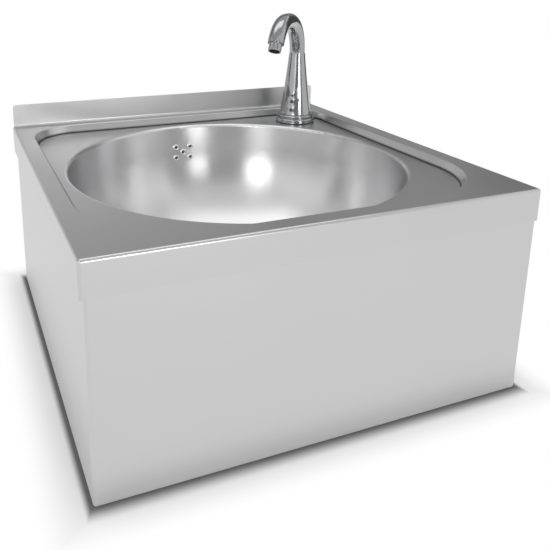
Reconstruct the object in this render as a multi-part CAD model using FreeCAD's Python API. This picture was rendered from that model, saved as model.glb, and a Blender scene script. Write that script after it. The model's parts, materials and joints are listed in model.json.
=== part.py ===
import FreeCAD, Part
import math
import os

# Wall-hung hand wash sink in stainless steel sheet, with a sensor tap in its rear right corner.
# Millimetres. X runs to the right, Y towards the wall, Z up. The origin lies under the middle of the
# casing, on the plane of its bottom rim.

V = FreeCAD.Vector
UP = V(0, 0, 1)

# ---- driving dimensions -------------------------------------------------------------------------
# Top sheet
width = 400.0
depth = 400.0
deck_height = 194.0
upstand_height = 26.0
sheet = 1.2
fold_radius = 2.5
flange_height = 29.0
recess_margin_side = 17.0
recess_margin_front = 18.0
recess_margin_rear = 14.0
recess_depth = 9.0
recess_wall_run = 4.0
recess_front_radius = 90.0
recess_rear_radius = 52.0
recess_edge_radius = 1.4
upstand_corner_radius = 4.0
cove_radius = 2.5

# Casing and rails
casing_inset = 3.0
bottom_lip = 14.0
rear_return = 22.0
under_deck_gap = 4.8
rail_height = 24.8
rail_flange = 11.0
rail_slot_spacing = 300.0
rail_slot_length = 16.0
rail_slot_width = 9.0
lower_rail_base = 14.0
lower_rail_height = 34.0
wall_hole_radius = 4.0
wall_hole_low = 34.0
wall_hole_pitch = 100.0

# Bowl
bowl_margin = 28.0
rim_radius = 3.5
bowl_wall_lean = 4.0
bowl_knuckle_radius = 98.0
bowl_floor_slope = 4.0
seat_z = 55.0
seat_radius = 37.0
seat_depth = 2.8
drain_hole_radius = 25.0

# Overflow
overflow_drop = 33.0
overflow_hole_radius = 2.75
overflow_pitch_x = 18.6
overflow_pitch_z = 13.4
overflow_body_width = 44.0
overflow_body_height = 30.0
overflow_body_reach = 12.5
overflow_wall = 2.5
overflow_stud_reach = 29.0
overflow_stud_radius = 2.0
overflow_spigot_drop = 19.0
overflow_ear_reach = 1.2
overflow_ear_margin = 6.0
overflow_nut_thickness = 3.2
overflow_nut_flats = 7.0
overflow_stud_end = 2.0
overflow_bend_radius = 60.0
seal_thickness = 2.0
seal_gap = 0.1

# Waste
strainer_thickness = 1.5
strainer_hole_radius = 2.5
drain_seal_thickness = 1.0
lower_seal_thickness = 3.0
drain_flange_radius = 36.0
drain_flange_thickness = 3.5
drain_cup_radius = 30.0
drain_cup_wall = 3.0
drain_cup_base = 27.0
tail_radius = 20.95
tail_wall = 2.45
tail_end = 4.0
spigot_height = 37.0
spigot_radius = 8.0
spigot_wall = 2.0
hose_wall = 1.5
hose_gap = 0.2
hose_bowl_gap = 0.6
hose_top_drop = 2.0
clamp_width = 6.0
clamp_thickness = 1.2
drain_screw_radius = 3.0

# Tap, measured up from the recess floor and forward from the column's axis
tap_inset = 53.28
tap_facing = 225.0
tap_gasket_thickness = 1.0
ring_radius = 24.5
ring_step_radius = 22.4
ring_height = 10.2
column_foot_radius = 19.7
column_waist_radius = 14.2
column_waist_height = 50.0
column_top_radius = 9.8
column_top_height = 88.0
neck_radius = 9.6
neck_rise_radius = 42.0
neck_flat = 10.0
neck_fall_radius = 40.0
neck_fall_turn = 62.0
neck_top_height = 130.0
spigot_fit_radius = 15.0
aerator_radius = 7.5
aerator_length = 9.5
aerator_thread_radius = 6.7
aerator_thread_length = 5.0
aerator_screen_radius = 5.9
lens_radius = 2.1
lens_heights = (17.5, 28.0)
status_radius = 1.4
status_height = 35.5
lens_gap = 0.1
cavity_radius = 11.0
cavity_base = 10.0
cavity_top = 43.0
shank_radius = 10.4
shank_bore = 4.5
shank_reach = 30.0
shank_gap = 0.1
tap_hole_radius = 14.0
washer_radius = 20.0
seal_washer_thickness = 3.0
clamp_washer_thickness = 2.0
lock_nut_flats = 27.0
lock_nut_height = 8.0

# Solenoid valve, stop valve and the hose between valve and tap
valve_from_tap = 62.72
valve_from_wall = 26.8
valve_z = 88.0
pipe_radius = 9.0
chamber_radius = 15.0
chamber_drop = 12.0
chamber_rise = 20.0
coil_radius = 13.0
coil_height = 28.0
plug_base = 10.0
plug_height = 10.0
plug_reach = 5.0
plunger_radius = 4.2
plunger_gap = 0.08
plunger_length = 24.0
plunger_seat_depth = 3.5
plunger_stroke = 2.0
joint_reach = 34.0
outlet_reach = 28.0
hose_radius = 5.0
hose_nut_flats = 22.0
hose_nut_length = 14.0
hose_nut_grip = 8.0
union_nut_flats = 24.0
union_nut_length = 12.0
stop_valve_radius = 13.0
stop_valve_reach = 66.0
inlet_reach = 53.0
inlet_radius = 10.48
inlet_length = 15.0
inlet_collar_radius = 12.5
inlet_collar_length = 3.0
stem_radius = 3.0
stem_gap = 0.05
stem_boss_radius = 7.0
stem_boss_reach = 13.0
lever_reach = 15.0
lever_thickness = 3.0
lever_length = 24.0
lever_width = 8.0
bracket_ring_gap = 0.1
bracket_thickness = 1.5
bracket_width = 16.0

# Control box with batteries, and the leads
box_side_gap = 0.3
box_width = 48.0
box_depth = 69.3
box_base = 70.0
box_rail_gap = 18.0
box_wall_gap = 1.5
box_wall = 2.0
ear_height = 12.0
ear_thickness = 3.0
cover_thickness = 2.4
cover_gap = 0.2
knuckle_radius = 2.0
hinge_pin_radius = 1.0
hinge_gap = 0.08
battery_radius = 7.1
battery_length = 50.5
battery_gap = 1.5
battery_margin = 12.0
board_setback = 40.0
board_thickness = 1.6
cable_radius = 2.0
cable_wall_gap = 6.8
sensor_cable_drop = 5.0
valve_cable_drop = 11.5
gland_wall_gap = 18.8
sensor_gland_drop = 9.0
valve_gland_drop = 19.0
cable_turn = 24.0
cable_exit_drop = 18.0
clip_spacing = 55.0
clip_width = 8.0
clip_foot = 1.5
clip_rise = 13.0
small_screw_radius = 2.0
small_head_radius = 3.6
small_head_height = 2.2

# ---- sizes that follow ---------------------------------------------------------------------------
left, right = -width / 2, width / 2
front, rear = -depth / 2, depth / 2
floor_z = deck_height - recess_depth
under_deck = deck_height - sheet
wall_face = rear - sheet
casing_left, casing_right = left + casing_inset, right - casing_inset
flange_base = deck_height - flange_height
rail_base = under_deck - rail_height
bowl_radius = min(width, depth) / 2 - bowl_margin
tap_x = right - tap_inset
tap_y = rear - tap_inset
overflow_z = floor_z - overflow_drop
overflow_body_back = bowl_radius + overflow_body_reach
hose_top_z = overflow_z - overflow_body_height / 2 - hose_top_drop
hose_bore = spigot_radius + hose_gap
hose_outer = hose_bore + hose_wall
box_left = casing_left + sheet + box_side_gap
box_right = box_left + box_width
box_back = wall_face - box_wall_gap
box_front = box_back - box_depth
valve_x = tap_x - valve_from_tap
valve_y = wall_face - valve_from_wall
joint_face_x = valve_x - joint_reach
outlet_end_x = valve_x + outlet_reach
stop_valve_start_x = valve_x - stop_valve_reach
inlet_x = valve_x - inlet_reach
stem_boss_back = valve_y + stem_boss_reach
lever_back = valve_y + lever_reach
cable_back = wall_face - cable_wall_gap
sensor_cable_z = rail_base - sensor_cable_drop
valve_cable_z = rail_base - valve_cable_drop
gland_y = wall_face - gland_wall_gap
box_top = rail_base - box_rail_gap
sensor_gland_z = box_top - sensor_gland_drop
valve_gland_z = box_top - valve_gland_drop


# ---- shared forms --------------------------------------------------------------------------------
def save(name, shape):
    solids = shape.Solids
    body = solids[0] if len(solids) == 1 else Part.makeCompound(solids)
    body.exportStep("parts/" + name + ".step")
    print(name, "solids", len(solids), "volume", round(shape.Volume, 1), "valid", shape.isValid())


def box(x0, x1, y0, y1, z0, z1):
    return Part.makeBox(x1 - x0, y1 - y0, z1 - z0, V(x0, y0, z0))


def rod(radius, start, end):
    return Part.makeCylinder(radius, (end - start).Length, start, end - start)


def tube(outer, inner, start, end):
    return rod(outer, start, end).cut(rod(inner, start, end))


def hexagon(flats, start, end):
    corners = []
    for step in range(7):
        angle = math.radians(60 * step + 30)
        reach = flats / 2 / math.cos(math.radians(30))
        corners.append(V(reach * math.cos(angle), reach * math.sin(angle), 0))
    prism = Part.Face(Part.makePolygon(corners)).extrude(V(0, 0, (end - start).Length))
    prism.Placement = FreeCAD.Placement(start, FreeCAD.Rotation(UP, end - start))
    return prism


def nut(flats, bore, start, end):
    return hexagon(flats, start, end).cut(rod(bore, start, end))


def pan_screw(head, tip):
    """A pan head ahead of the point head, and a shank from there to the tip."""
    out = (head - tip).normalize()
    return rod(small_head_radius, head,
               head + out * small_head_height).fuse(rod(small_screw_radius, head, tip))


def on_lines(edge, lines):
    bounds = edge.BoundBox
    spans = {"x": (bounds.XMin, bounds.XMax), "y": (bounds.YMin, bounds.YMax),
             "z": (bounds.ZMin, bounds.ZMax)}
    for line in lines:
        if all(max(abs(end - value) for end in spans[axis]) < 0.01 for axis, value in line.items()):
            return True
    return False


def round_lines(shape, radius, lines):
    return shape.makeFillet(radius, [edge for edge in shape.Edges if on_lines(edge, lines)])


def rounded_rectangle(x0, x1, y0, y1, front_radius, rear_radius, z):
    edges = []
    centres = [(x1 - rear_radius, y1 - rear_radius, rear_radius, 0),
               (x0 + rear_radius, y1 - rear_radius, rear_radius, 90),
               (x0 + front_radius, y0 + front_radius, front_radius, 180),
               (x1 - front_radius, y0 + front_radius, front_radius, 270)]
    ends = []
    for cx, cy, radius, first in centres:
        points = []
        for angle in (first, first + 45, first + 90):
            turn = math.radians(angle)
            points.append(V(cx + radius * math.cos(turn), cy + radius * math.sin(turn), z))
        ends.append(points)
    for number, points in enumerate(ends):
        edges.append(Part.Arc(*points).toShape())
        edges.append(Part.LineSegment(points[2], ends[(number + 1) % 4][0]).toShape())
    return Part.Wire(edges)


def corner_arc(before, corner, after, radius):
    come = (corner - before).normalize()
    go = (after - corner).normalize()
    half_turn = come.getAngle(go) / 2
    reach = radius * math.tan(half_turn)
    start, end = corner - come * reach, corner + go * reach
    inward = (go - come).normalize()
    middle = corner + inward * (radius / math.cos(half_turn) - radius)
    return start, middle, end


def run_edges(points, radii):
    """Straight runs through the points, joined by tangent arcs; a radius of 0 leaves a corner sharp."""
    edges = []
    here = points[0]
    for before, corner, after, radius in zip(points, points[1:], points[2:], radii):
        start, middle, end = (corner,) * 3 if radius == 0 else corner_arc(before, corner, after, radius)
        if (start - here).Length > 1e-6:
            edges.append(Part.LineSegment(here, start).toShape())
        if radius:
            edges.append(Part.Arc(start, middle, end).toShape())
        here = end
    if (points[-1] - here).Length > 1e-6:
        edges.append(Part.LineSegment(here, points[-1]).toShape())
    return edges


def offset_run(points, radii, distance):
    """The same run moved to its left by the distance, with its arcs kept concentric. Points are (u, v)."""
    normals = []
    for (u0, v0), (u1, v1) in zip(points, points[1:]):
        length = math.hypot(u1 - u0, v1 - v0)
        normals.append(((v0 - v1) / length, (u1 - u0) / length))
    moved = [(points[0][0] + normals[0][0] * distance, points[0][1] + normals[0][1] * distance)]
    new_radii = []
    for (u, v), first, second, radius in zip(points[1:], normals, normals[1:], radii):
        scale = distance / (1 + first[0] * second[0] + first[1] * second[1])
        moved.append((u + (first[0] + second[0]) * scale, v + (first[1] + second[1]) * scale))
        left_turn = first[0] * second[1] - first[1] * second[0] > 0
        new_radii.append(0 if radius == 0 else radius - distance if left_turn else radius + distance)
    moved.append((points[-1][0] + normals[-1][0] * distance, points[-1][1] + normals[-1][1] * distance))
    return moved, new_radii


def sheet_face(points, radii, distance, lift):
    """The section of a bent sheet: a run, its offset, and the two cut ends. lift puts (u, v) in space."""
    other, other_radii = offset_run(points, radii, distance)
    near = [lift(*point) for point in points]
    far = [lift(*point) for point in other]
    edges = run_edges(near, radii) + run_edges(far, other_radii)
    edges.append(Part.LineSegment(near[0], far[0]).toShape())
    edges.append(Part.LineSegment(near[-1], far[-1]).toShape())
    return Part.Face(Part.Wire(Part.__sortEdges__(edges)))


def in_section(radius, height):
    return V(radius, 0, height)


def turned(points, radii):
    """A solid of revolution about Z from a closed (radius, height) outline; its last side closes it."""
    lifted = [in_section(*point) for point in points]
    edges = run_edges(lifted, radii)
    edges.append(Part.LineSegment(lifted[-1], lifted[0]).toShape())
    return Part.Face(Part.Wire(edges)).revolve(V(0, 0, 0), UP, 360)


def tube_along(points, radius, bend_radii, bore=0):
    """A round bar or hose along straight runs joined by tangent arcs."""
    path = Part.Wire(run_edges(points, bend_radii))
    start_way = points[1] - points[0]

    def swept(size):
        circle = Part.Wire(Part.makeCircle(size, points[0], start_way))
        return path.makePipeShell([circle], True, False)

    body = swept(radius)
    return body.cut(swept(bore)) if bore else body


def free_bends(points):
    """The largest bends that a lead's runs allow."""
    radii = []
    for before, corner, after in zip(points, points[1:], points[2:]):
        come, go = corner - before, after - corner
        radii.append(0.45 * min(come.Length, go.Length) / math.tan(come.getAngle(go) / 2))
    return radii


# ---- top sheet -----------------------------------------------------------------------------------
def recess(grow, low, high):
    """The pressed recess's room between two heights, its walls moved outwards by grow."""
    lean = recess_wall_run / recess_depth
    loops = []
    for z in (low, high):
        out = grow + (z - deck_height) * lean
        loops.append(rounded_rectangle(left + recess_margin_side - out, right - recess_margin_side + out,
                                       front + recess_margin_front - out, rear - recess_margin_rear + out,
                                       recess_front_radius + out, recess_rear_radius + out, z))
    return Part.makeLoft(loops, True, True)


def deck():
    top = deck_height
    outer = box(left, right, front, rear, flange_base, top)
    outer = round_lines(outer, fold_radius, [{"x": left, "y": front}, {"x": right, "y": front},
                                             {"y": front, "z": top}, {"x": left, "z": top},
                                             {"x": right, "z": top}])
    inside_left, inside_right, inside_front = left + sheet, right - sheet, front + sheet
    beyond = 10.0
    inner = box(inside_left, inside_right, inside_front, rear + beyond, flange_base - beyond, under_deck)
    inner = round_lines(inner, fold_radius - sheet,
                        [{"x": inside_left, "y": inside_front}, {"x": inside_right, "y": inside_front},
                         {"y": inside_front, "z": under_deck}, {"x": inside_left, "z": under_deck},
                         {"x": inside_right, "z": under_deck}])
    body = outer.cut(inner)
    # the rear edge turns up into the upstand, between the two side flanges
    fold_outer = cove_radius + sheet
    body = body.cut(box(inside_left, inside_right, rear - fold_outer, rear + beyond, flange_base,
                        top + beyond))
    start = rear - fold_outer
    section = [(start, top), (wall_face, top), (wall_face, top + upstand_height)]
    strip = sheet_face(section, [cove_radius], -sheet, lambda y, z: V(inside_left, y, z))
    strip = strip.extrude(V(inside_right - inside_left, 0, 0))
    strip = round_lines(strip, upstand_corner_radius, [{"x": inside_left, "z": top + upstand_height},
                                                       {"x": inside_right, "z": top + upstand_height}])
    body = body.fuse(strip)
    # the recess is pressed down through the sheet
    wall_across = sheet * math.hypot(1, recess_wall_run / recess_depth)
    body = body.fuse(recess(wall_across, floor_z - sheet, top - sheet / 2))
    body = body.cut(recess(0, floor_z, top + sheet))
    body = body.cut(rod(bowl_radius, V(0, 0, floor_z - 2 * sheet), V(0, 0, top)))
    body = body.cut(rod(tap_hole_radius, V(tap_x, tap_y, floor_z - 2 * sheet), V(tap_x, tap_y, top)))
    body = body.removeSplitter()
    lip = [edge for edge in body.Edges if on_lines(edge, [{"z": top}]) and
           abs(edge.CenterOfMass.x) < right - recess_margin_side + 1 and
           front + recess_margin_front - 1 < edge.CenterOfMass.y < rear - recess_margin_rear + 1]
    return body.makeFillet(recess_edge_radius, lip)


# ---- bowl ----------------------------------------------------------------------------------------
def bowl_run():
    """The bowl's inner face from rim to drain hole, as (radius, height) corners with their radii."""
    lean = math.tan(math.radians(bowl_wall_lean))
    slope = math.tan(math.radians(bowl_floor_slope))
    rim_turn = math.radians(90 - bowl_wall_lean)
    rim_corner = bowl_radius - rim_radius * math.tan(rim_turn / 2)
    seat_edge = (seat_radius + 2, seat_z + seat_depth)
    fall = floor_z - seat_edge[1]
    knuckle_r = (rim_corner - lean * fall - lean * slope * seat_edge[0]) / (1 - lean * slope)
    knuckle_z = seat_edge[1] + (knuckle_r - seat_edge[0]) * slope
    points = [(bowl_radius, floor_z), (rim_corner, floor_z), (knuckle_r, knuckle_z), seat_edge,
              (seat_radius - 0.5, seat_z), (drain_hole_radius, seat_z)]
    return points, [rim_radius, bowl_knuckle_radius, 0, 0]


def wall_radius(z):
    """Radius of the bowl's outer face at a height in its side."""
    points, radii = bowl_run()
    rim, knuckle, seat = [V(point[0], point[1], 0) for point in points[1:4]]
    top = corner_arc(rim, knuckle, seat, bowl_knuckle_radius)[0]
    lean = math.radians(bowl_wall_lean)
    if z > top.y:
        return top.x + (z - top.y) * math.tan(lean) + sheet
    middle_r = top.x - bowl_knuckle_radius * math.cos(lean)
    middle_z = top.y + bowl_knuckle_radius * math.sin(lean)
    return middle_r + math.sqrt((bowl_knuckle_radius + sheet) ** 2 - (z - middle_z) ** 2)


def spigot_back():
    """Where the overflow's spigot and hose stand behind the bowl, clear of its side."""
    return wall_radius(hose_top_z) + hose_bowl_gap + hose_outer


def bowl_room(distance):
    """Everything inside the bowl's inner face moved outwards by the distance."""
    points, radii = bowl_run()
    moved, new_radii = offset_run(points, radii, distance)
    lifted = [in_section(*point) for point in moved]
    low, high = in_section(0, moved[-1][1]), in_section(0, moved[0][1])
    edges = run_edges(lifted, new_radii)
    for start, end in ((lifted[-1], low), (low, high), (high, lifted[0])):
        edges.append(Part.LineSegment(start, end).toShape())
    return Part.Face(Part.Wire(edges)).revolve(V(0, 0, 0), UP, 360)


def overflow_holes():
    places = [(0, 0)]
    for side in (-0.5, 0.5):
        for level in (-0.5, 0.5):
            places.append((side * overflow_pitch_x, level * overflow_pitch_z))
    reach = bowl_radius
    return [rod(overflow_hole_radius, V(x, reach / 2, overflow_z + z), V(x, reach + 5, overflow_z + z))
            for x, z in places]


def overflow_studs():
    tip = nut_back() + overflow_stud_end
    studs = [rod(overflow_stud_radius, V(side * overflow_stud_reach, bowl_radius / 2, overflow_z),
                 V(side * overflow_stud_reach, tip, overflow_z)) for side in (-1, 1)]
    return Part.makeCompound(studs).cut(bowl_room(0))


def ear_back():
    """Rear face of the overflow housing's ears."""
    return bowl_radius - overflow_ear_reach


def nut_back():
    return ear_back() + overflow_nut_thickness


def bowl():
    points, radii = bowl_run()
    shell = sheet_face(points, radii, sheet, in_section).revolve(V(0, 0, 0), UP, 360)
    for hole in overflow_holes():
        shell = shell.cut(hole)
    for stud in overflow_studs().Solids:
        shell = shell.fuse(stud)
    return shell


# ---- casing and rails ----------------------------------------------------------------------------
def casing():
    top = under_deck - under_deck_gap
    sides = [{"x": casing_left, "y": front}, {"x": casing_right, "y": front},
             {"x": casing_left, "y": rear}, {"x": casing_right, "y": rear},
             {"x": casing_left, "z": 0}, {"x": casing_right, "z": 0}, {"y": front, "z": 0}]
    outer = round_lines(box(casing_left, casing_right, front, rear, 0, top), fold_radius, sides)
    x0, x1, y0, y1 = casing_left + sheet, casing_right - sheet, front + sheet, wall_face
    beyond = 20.0
    inner_lines = [{"x": x0, "y": y0}, {"x": x1, "y": y0}, {"x": x0, "y": y1}, {"x": x1, "y": y1},
                   {"x": x0, "z": sheet}, {"x": x1, "z": sheet}, {"y": y0, "z": sheet}]
    inner = round_lines(box(x0, x1, y0, y1, sheet, top + beyond), fold_radius - sheet, inner_lines)
    body = outer.cut(inner)
    # open underneath inside the bottom lips, and open to the wall between the rear returns
    body = body.cut(box(casing_left + bottom_lip, casing_right - bottom_lip, front + bottom_lip,
                        rear + beyond,
                        -beyond, 2 * sheet))
    inner_return = casing_right - rear_return
    body = body.cut(box(-inner_return, inner_return, wall_face - beyond, rear + beyond, -beyond,
                        top + beyond))
    body = body.cut(box(x0, x1, wall_face - fold_radius, rear + beyond, rail_base, top + beyond))
    # the top sheet's front flange closes the front above this line
    body = body.cut(box(left, right, front - beyond, front + fold_radius + sheet, flange_base, top + beyond))
    for side in (-1, 1):
        for z in (wall_hole_low, wall_hole_low + wall_hole_pitch):
            x = side * wall_hole_x()
            body = body.cut(rod(wall_hole_radius, V(x, wall_face - beyond, z), V(x, rear + beyond, z)))
    for z in box_screw_heights():
        body = body.cut(rod(small_screw_radius + lens_gap, V(box_screw_x(), wall_face - 1, z),
                            V(box_screw_x(), rear + 1, z)))
    return body


def wall_hole_x():
    return casing_right - rear_return / 2


def slot(x, z, length, width_across):
    half = (length - width_across) / 2
    hole = box(x - half, x + half, wall_face - 1, rear + 1, z - width_across / 2, z + width_across / 2)
    for side in (-1, 1):
        hole = hole.fuse(rod(width_across / 2, V(x + side * half, wall_face - 1, z),
                             V(x + side * half, rear + 1, z)))
    return hole


def rail_slot_z():
    return rail_base + rail_height / 2 - 1


def rear_rail():
    section = [(rear - rail_flange, under_deck), (rear, under_deck), (rear, rail_base)]
    half = casing_right - sheet
    face = sheet_face(section, [cove_radius + sheet], -sheet, lambda y, z: V(-half, y, z))
    body = face.extrude(V(2 * half, 0, 0))
    for side in (-1, 1):
        body = body.cut(slot(side * rail_slot_spacing / 2, rail_slot_z(), rail_slot_length, rail_slot_width))
    for z in bracket_screw_heights():
        body = body.cut(rod(small_screw_radius + lens_gap, V(valve_x, wall_face - 1, z),
                            V(valve_x, rear + 1, z)))
    return body


def lower_rail():
    low, high = lower_rail_base, lower_rail_base + lower_rail_height
    section = [(rear - rail_flange, high), (rear, high), (rear, low), (rear - rail_flange, low)]
    half = casing_right - rear_return
    bends = [fold_radius, fold_radius]
    return sheet_face(section, bends, -sheet, lambda y, z: V(-half, y, z)).extrude(V(2 * half, 0, 0))


# ---- overflow ------------------------------------------------------------------------------------
def overflow_block(inset, back):
    half_x, half_z = overflow_body_width / 2 - inset, overflow_body_height / 2 - inset
    loop = rounded_rectangle(-half_x, half_x, -half_z, half_z, 6 - inset, 6 - inset, 0)
    block = Part.Face(loop).extrude(V(0, 0, back - bowl_radius / 2))
    block.Placement = FreeCAD.Placement(V(0, back, overflow_z), FreeCAD.Rotation(V(1, 0, 0), 90))
    return block


def overflow_seal():
    ring = overflow_block(0, overflow_body_back).cut(overflow_block(overflow_wall, overflow_body_back))
    return ring.common(bowl_room(sheet + seal_thickness - seal_gap)).cut(bowl_room(sheet + seal_gap))


def overflow_housing():
    body = overflow_block(0, overflow_body_back)
    margin = overflow_ear_margin
    reach = overflow_stud_reach + margin
    ears = box(-reach, reach, bowl_radius / 2, ear_back(), overflow_z - margin, overflow_z + margin)
    base = overflow_z - overflow_body_height / 2
    foot = V(0, spigot_back(), base - overflow_spigot_drop)
    body = body.fuse(ears).fuse(rod(spigot_radius, foot, V(0, spigot_back(), base + 1)))
    body = body.cut(overflow_block(overflow_wall, overflow_body_back - overflow_wall))
    body = body.cut(rod(spigot_radius - spigot_wall, foot - UP, V(0, spigot_back(), base + 4)))
    for side in (-1, 1):
        x = side * overflow_stud_reach
        body = body.cut(rod(overflow_stud_radius + seal_gap, V(x, bowl_radius / 2, overflow_z),
                            V(x, bowl_radius + 5, overflow_z)))
    return body.cut(bowl_room(sheet + seal_thickness))


def overflow_nuts():
    nuts = []
    for side in (-1, 1):
        x = side * overflow_stud_reach
        nuts.append(nut(overflow_nut_flats, overflow_stud_radius + seal_gap,
                        V(x, ear_back(), overflow_z), V(x, nut_back(), overflow_z)))
    return Part.makeCompound(nuts)


def hose_start():
    return V(0, spigot_back(), hose_top_z)


def hose_end():
    return V(0, drain_cup_radius + 3, spigot_height)


def overflow_hose():
    corner = V(0, spigot_back(), spigot_height)
    return tube_along([hose_start(), corner, hose_end()], hose_outer, [overflow_bend_radius], hose_bore)


def hose_clamps():
    inner = hose_outer + seal_gap
    upper = hose_start() - UP * 5
    lower = hose_end() + V(0, 5, 0)
    rings = [tube(inner + clamp_thickness, inner, upper - UP * clamp_width, upper),
             tube(inner + clamp_thickness, inner, lower, lower + V(0, clamp_width, 0))]
    lugs = [box(-4, 4, spigot_back() + inner + 0.5, spigot_back() + inner + 5,
                upper.z - clamp_width, upper.z),
            box(-4, 4, lower.y, lower.y + clamp_width, spigot_height - inner - 5,
                spigot_height - inner - 0.5)]
    return Part.makeCompound([ring.fuse(lug) for ring, lug in zip(rings, lugs)])


# ---- waste ---------------------------------------------------------------------------------------
def drain_seal():
    return tube(seat_radius - 1.5, drain_hole_radius, V(0, 0, seat_z),
                V(0, 0, seat_z + drain_seal_thickness))


def strainer_base():
    return seat_z + drain_seal_thickness


def drain_strainer():
    base = strainer_base()
    skirt = drain_hole_radius - 0.5
    outline = [(drain_screw_radius + 0.3, base), (skirt - 1.5, base), (skirt - 1.5, base - 4),
               (skirt, base - 4),
               (skirt, base), (seat_radius - 1.5, base), (seat_radius - 1.5, base + strainer_thickness),
               (drain_screw_radius + 0.3, base + strainer_thickness)]
    body = turned(outline, [0, 0, 0, 0, 0, 1.0])
    for count, reach in ((6, 10.5), (12, 18.5)):
        for number in range(count):
            turn = 2 * math.pi * number / count
            x, y = reach * math.cos(turn), reach * math.sin(turn)
            body = body.cut(rod(strainer_hole_radius, V(x, y, base - 1),
                                V(x, y, base + strainer_thickness + 1)))
    return body


def drain_screw():
    head_base = strainer_base() + strainer_thickness
    outline = [(0, head_base), (6.5, head_base), (5.5, head_base + 2.2), (0, head_base + 2.2)]
    head = turned(outline, [0, 1.0])
    slot_cut = box(-5, 5, -0.6, 0.6, head_base + 1.2, head_base + 4)
    return head.cut(slot_cut).fuse(rod(drain_screw_radius, V(0, 0, drain_boss_top() - 8),
                                       V(0, 0, head_base)))


def drain_body_top():
    return seat_z - sheet - lower_seal_thickness


def drain_boss_top():
    return drain_body_top() - 5


def drain_lower_seal():
    return tube(drain_flange_radius, drain_hole_radius, V(0, 0, drain_body_top()), V(0, 0, seat_z - sheet))


def drain_body():
    top = drain_body_top()
    shoulder = top - drain_flange_thickness
    inner = drain_cup_radius - drain_cup_wall
    bore = tail_radius - tail_wall
    outline = [(inner, top), (drain_flange_radius, top), (drain_flange_radius, shoulder),
               (drain_cup_radius, shoulder), (drain_cup_radius, drain_cup_base),
               (tail_radius, drain_cup_base - 1),
               (tail_radius, tail_end), (bore, tail_end), (bore, drain_cup_base + 2),
               (inner, drain_cup_base + 3)]
    body = turned(outline, [0, 0, 2.0, 3.0, 0, 0, 0, 0])
    boss = rod(6, V(0, 0, drain_boss_top() - 12), V(0, 0, drain_boss_top()))
    bar = box(-inner - 1, inner + 1, -2.5, 2.5, drain_boss_top() - 10, drain_boss_top() - 2)
    end = V(0, drain_cup_radius + 22, spigot_height)
    body = body.fuse(boss).fuse(bar).fuse(rod(spigot_radius, V(0, inner + 1, spigot_height), end))
    body = body.cut(rod(spigot_radius - spigot_wall, V(0, inner - 3, spigot_height), end + V(0, 1, 0)))
    return body.cut(rod(drain_screw_radius + 0.1, V(0, 0, drain_boss_top() - 9), V(0, 0, top)))


# ---- tap -----------------------------------------------------------------------------------------
def at_tap(shape):
    """From the tap's own frame, facing +X with its foot at the origin, to its place on the sink."""
    placed = shape.copy()
    placed.Placement = FreeCAD.Placement(V(tap_x, tap_y, floor_z), FreeCAD.Rotation(UP, tap_facing))
    return placed


def ring_top():
    return tap_gasket_thickness + ring_height - 1


def neck_points():
    """Corners of the neck's centre line, from the column's top to the spout's end."""
    turn = math.radians(neck_fall_turn)
    reach = neck_fall_radius * math.tan(turn / 2)
    over = neck_rise_radius + neck_flat + reach
    way = V(math.cos(turn), 0, -math.sin(turn))
    last = V(over, 0, neck_top_height) + way * (reach + 1)
    return [V(0, 0, column_top_height - 3), V(0, 0, neck_top_height), V(over, 0, neck_top_height), last], way


def tap_outside():
    foot = ring_top()
    bottom = tap_gasket_thickness + 0.2
    curve = Part.Arc(in_section(column_foot_radius, foot + 1),
                     in_section(column_waist_radius, column_waist_height),
                     in_section(column_top_radius, column_top_height)).toShape()
    corners = [(column_top_radius, column_top_height), (0, column_top_height), (0, bottom),
               (spigot_fit_radius, bottom), (spigot_fit_radius, foot), (column_foot_radius, foot),
               (column_foot_radius, foot + 1)]
    lines = run_edges([in_section(*corner) for corner in corners], [0] * (len(corners) - 2))
    column = Part.Face(Part.Wire([curve] + lines)).revolve(V(0, 0, 0), UP, 360)
    points, way = neck_points()
    return column.fuse(tube_along(points, neck_radius, [neck_rise_radius, neck_fall_radius]))


def window(radius, height, start):
    return rod(radius, V(start, 0, height), V(column_foot_radius + 6, 0, height))


def windows():
    return [(lens_radius, height) for height in lens_heights] + [(status_radius, status_height)]


def tap_body():
    body = tap_outside()
    body = body.cut(rod(shank_radius + shank_gap, V(0, 0, 0), V(0, 0, cavity_base + 1)))
    body = body.cut(rod(cavity_radius, V(0, 0, cavity_base), V(0, 0, cavity_top)))
    for radius, height in windows():
        body = body.cut(window(radius + lens_gap, height, 0))
    points, way = neck_points()
    mouth = points[-1]
    body = body.cut(rod(aerator_thread_radius + 0.1, mouth - way * (aerator_thread_length + 1),
                        mouth + way * 2))
    return at_tap(body)


def lens(radius, height):
    return window(radius, height, cavity_radius - 0.2).common(tap_outside())


def sensor_lenses():
    return at_tap(Part.makeCompound([lens(lens_radius, height) for height in lens_heights]))


def status_lens():
    return at_tap(lens(status_radius, status_height))


def sensor_module():
    body = rod(cavity_radius - 0.3, V(0, 0, cavity_base + 0.2), V(0, 0, cavity_top - 2))
    return at_tap(body.cut(box(-cavity_radius, 1, -cavity_radius, cavity_radius, 0, cavity_top)))


def tap_base_ring():
    base, top = tap_gasket_thickness, ring_top()
    middle = base + (top - base) / 2
    hole = spigot_fit_radius + 0.1
    outline = [(hole, base), (ring_radius, base), (ring_radius, middle), (ring_step_radius, middle + 0.4),
               (ring_step_radius, top - 0.2), (column_foot_radius + 0.4, top), (hole, top)]
    return at_tap(turned(outline, [0, 1.8, 0, 1.6, 0]))


def tap_base_gasket():
    return at_tap(tube(ring_radius - 0.8, shank_radius + shank_gap, V(0, 0, 0), UP * tap_gasket_thickness))


def below_deck(drop):
    return V(0, 0, -sheet - drop)


def tap_shank():
    return at_tap(tube(shank_radius, shank_bore, V(0, 0, -shank_reach), V(0, 0, cavity_base)))


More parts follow.
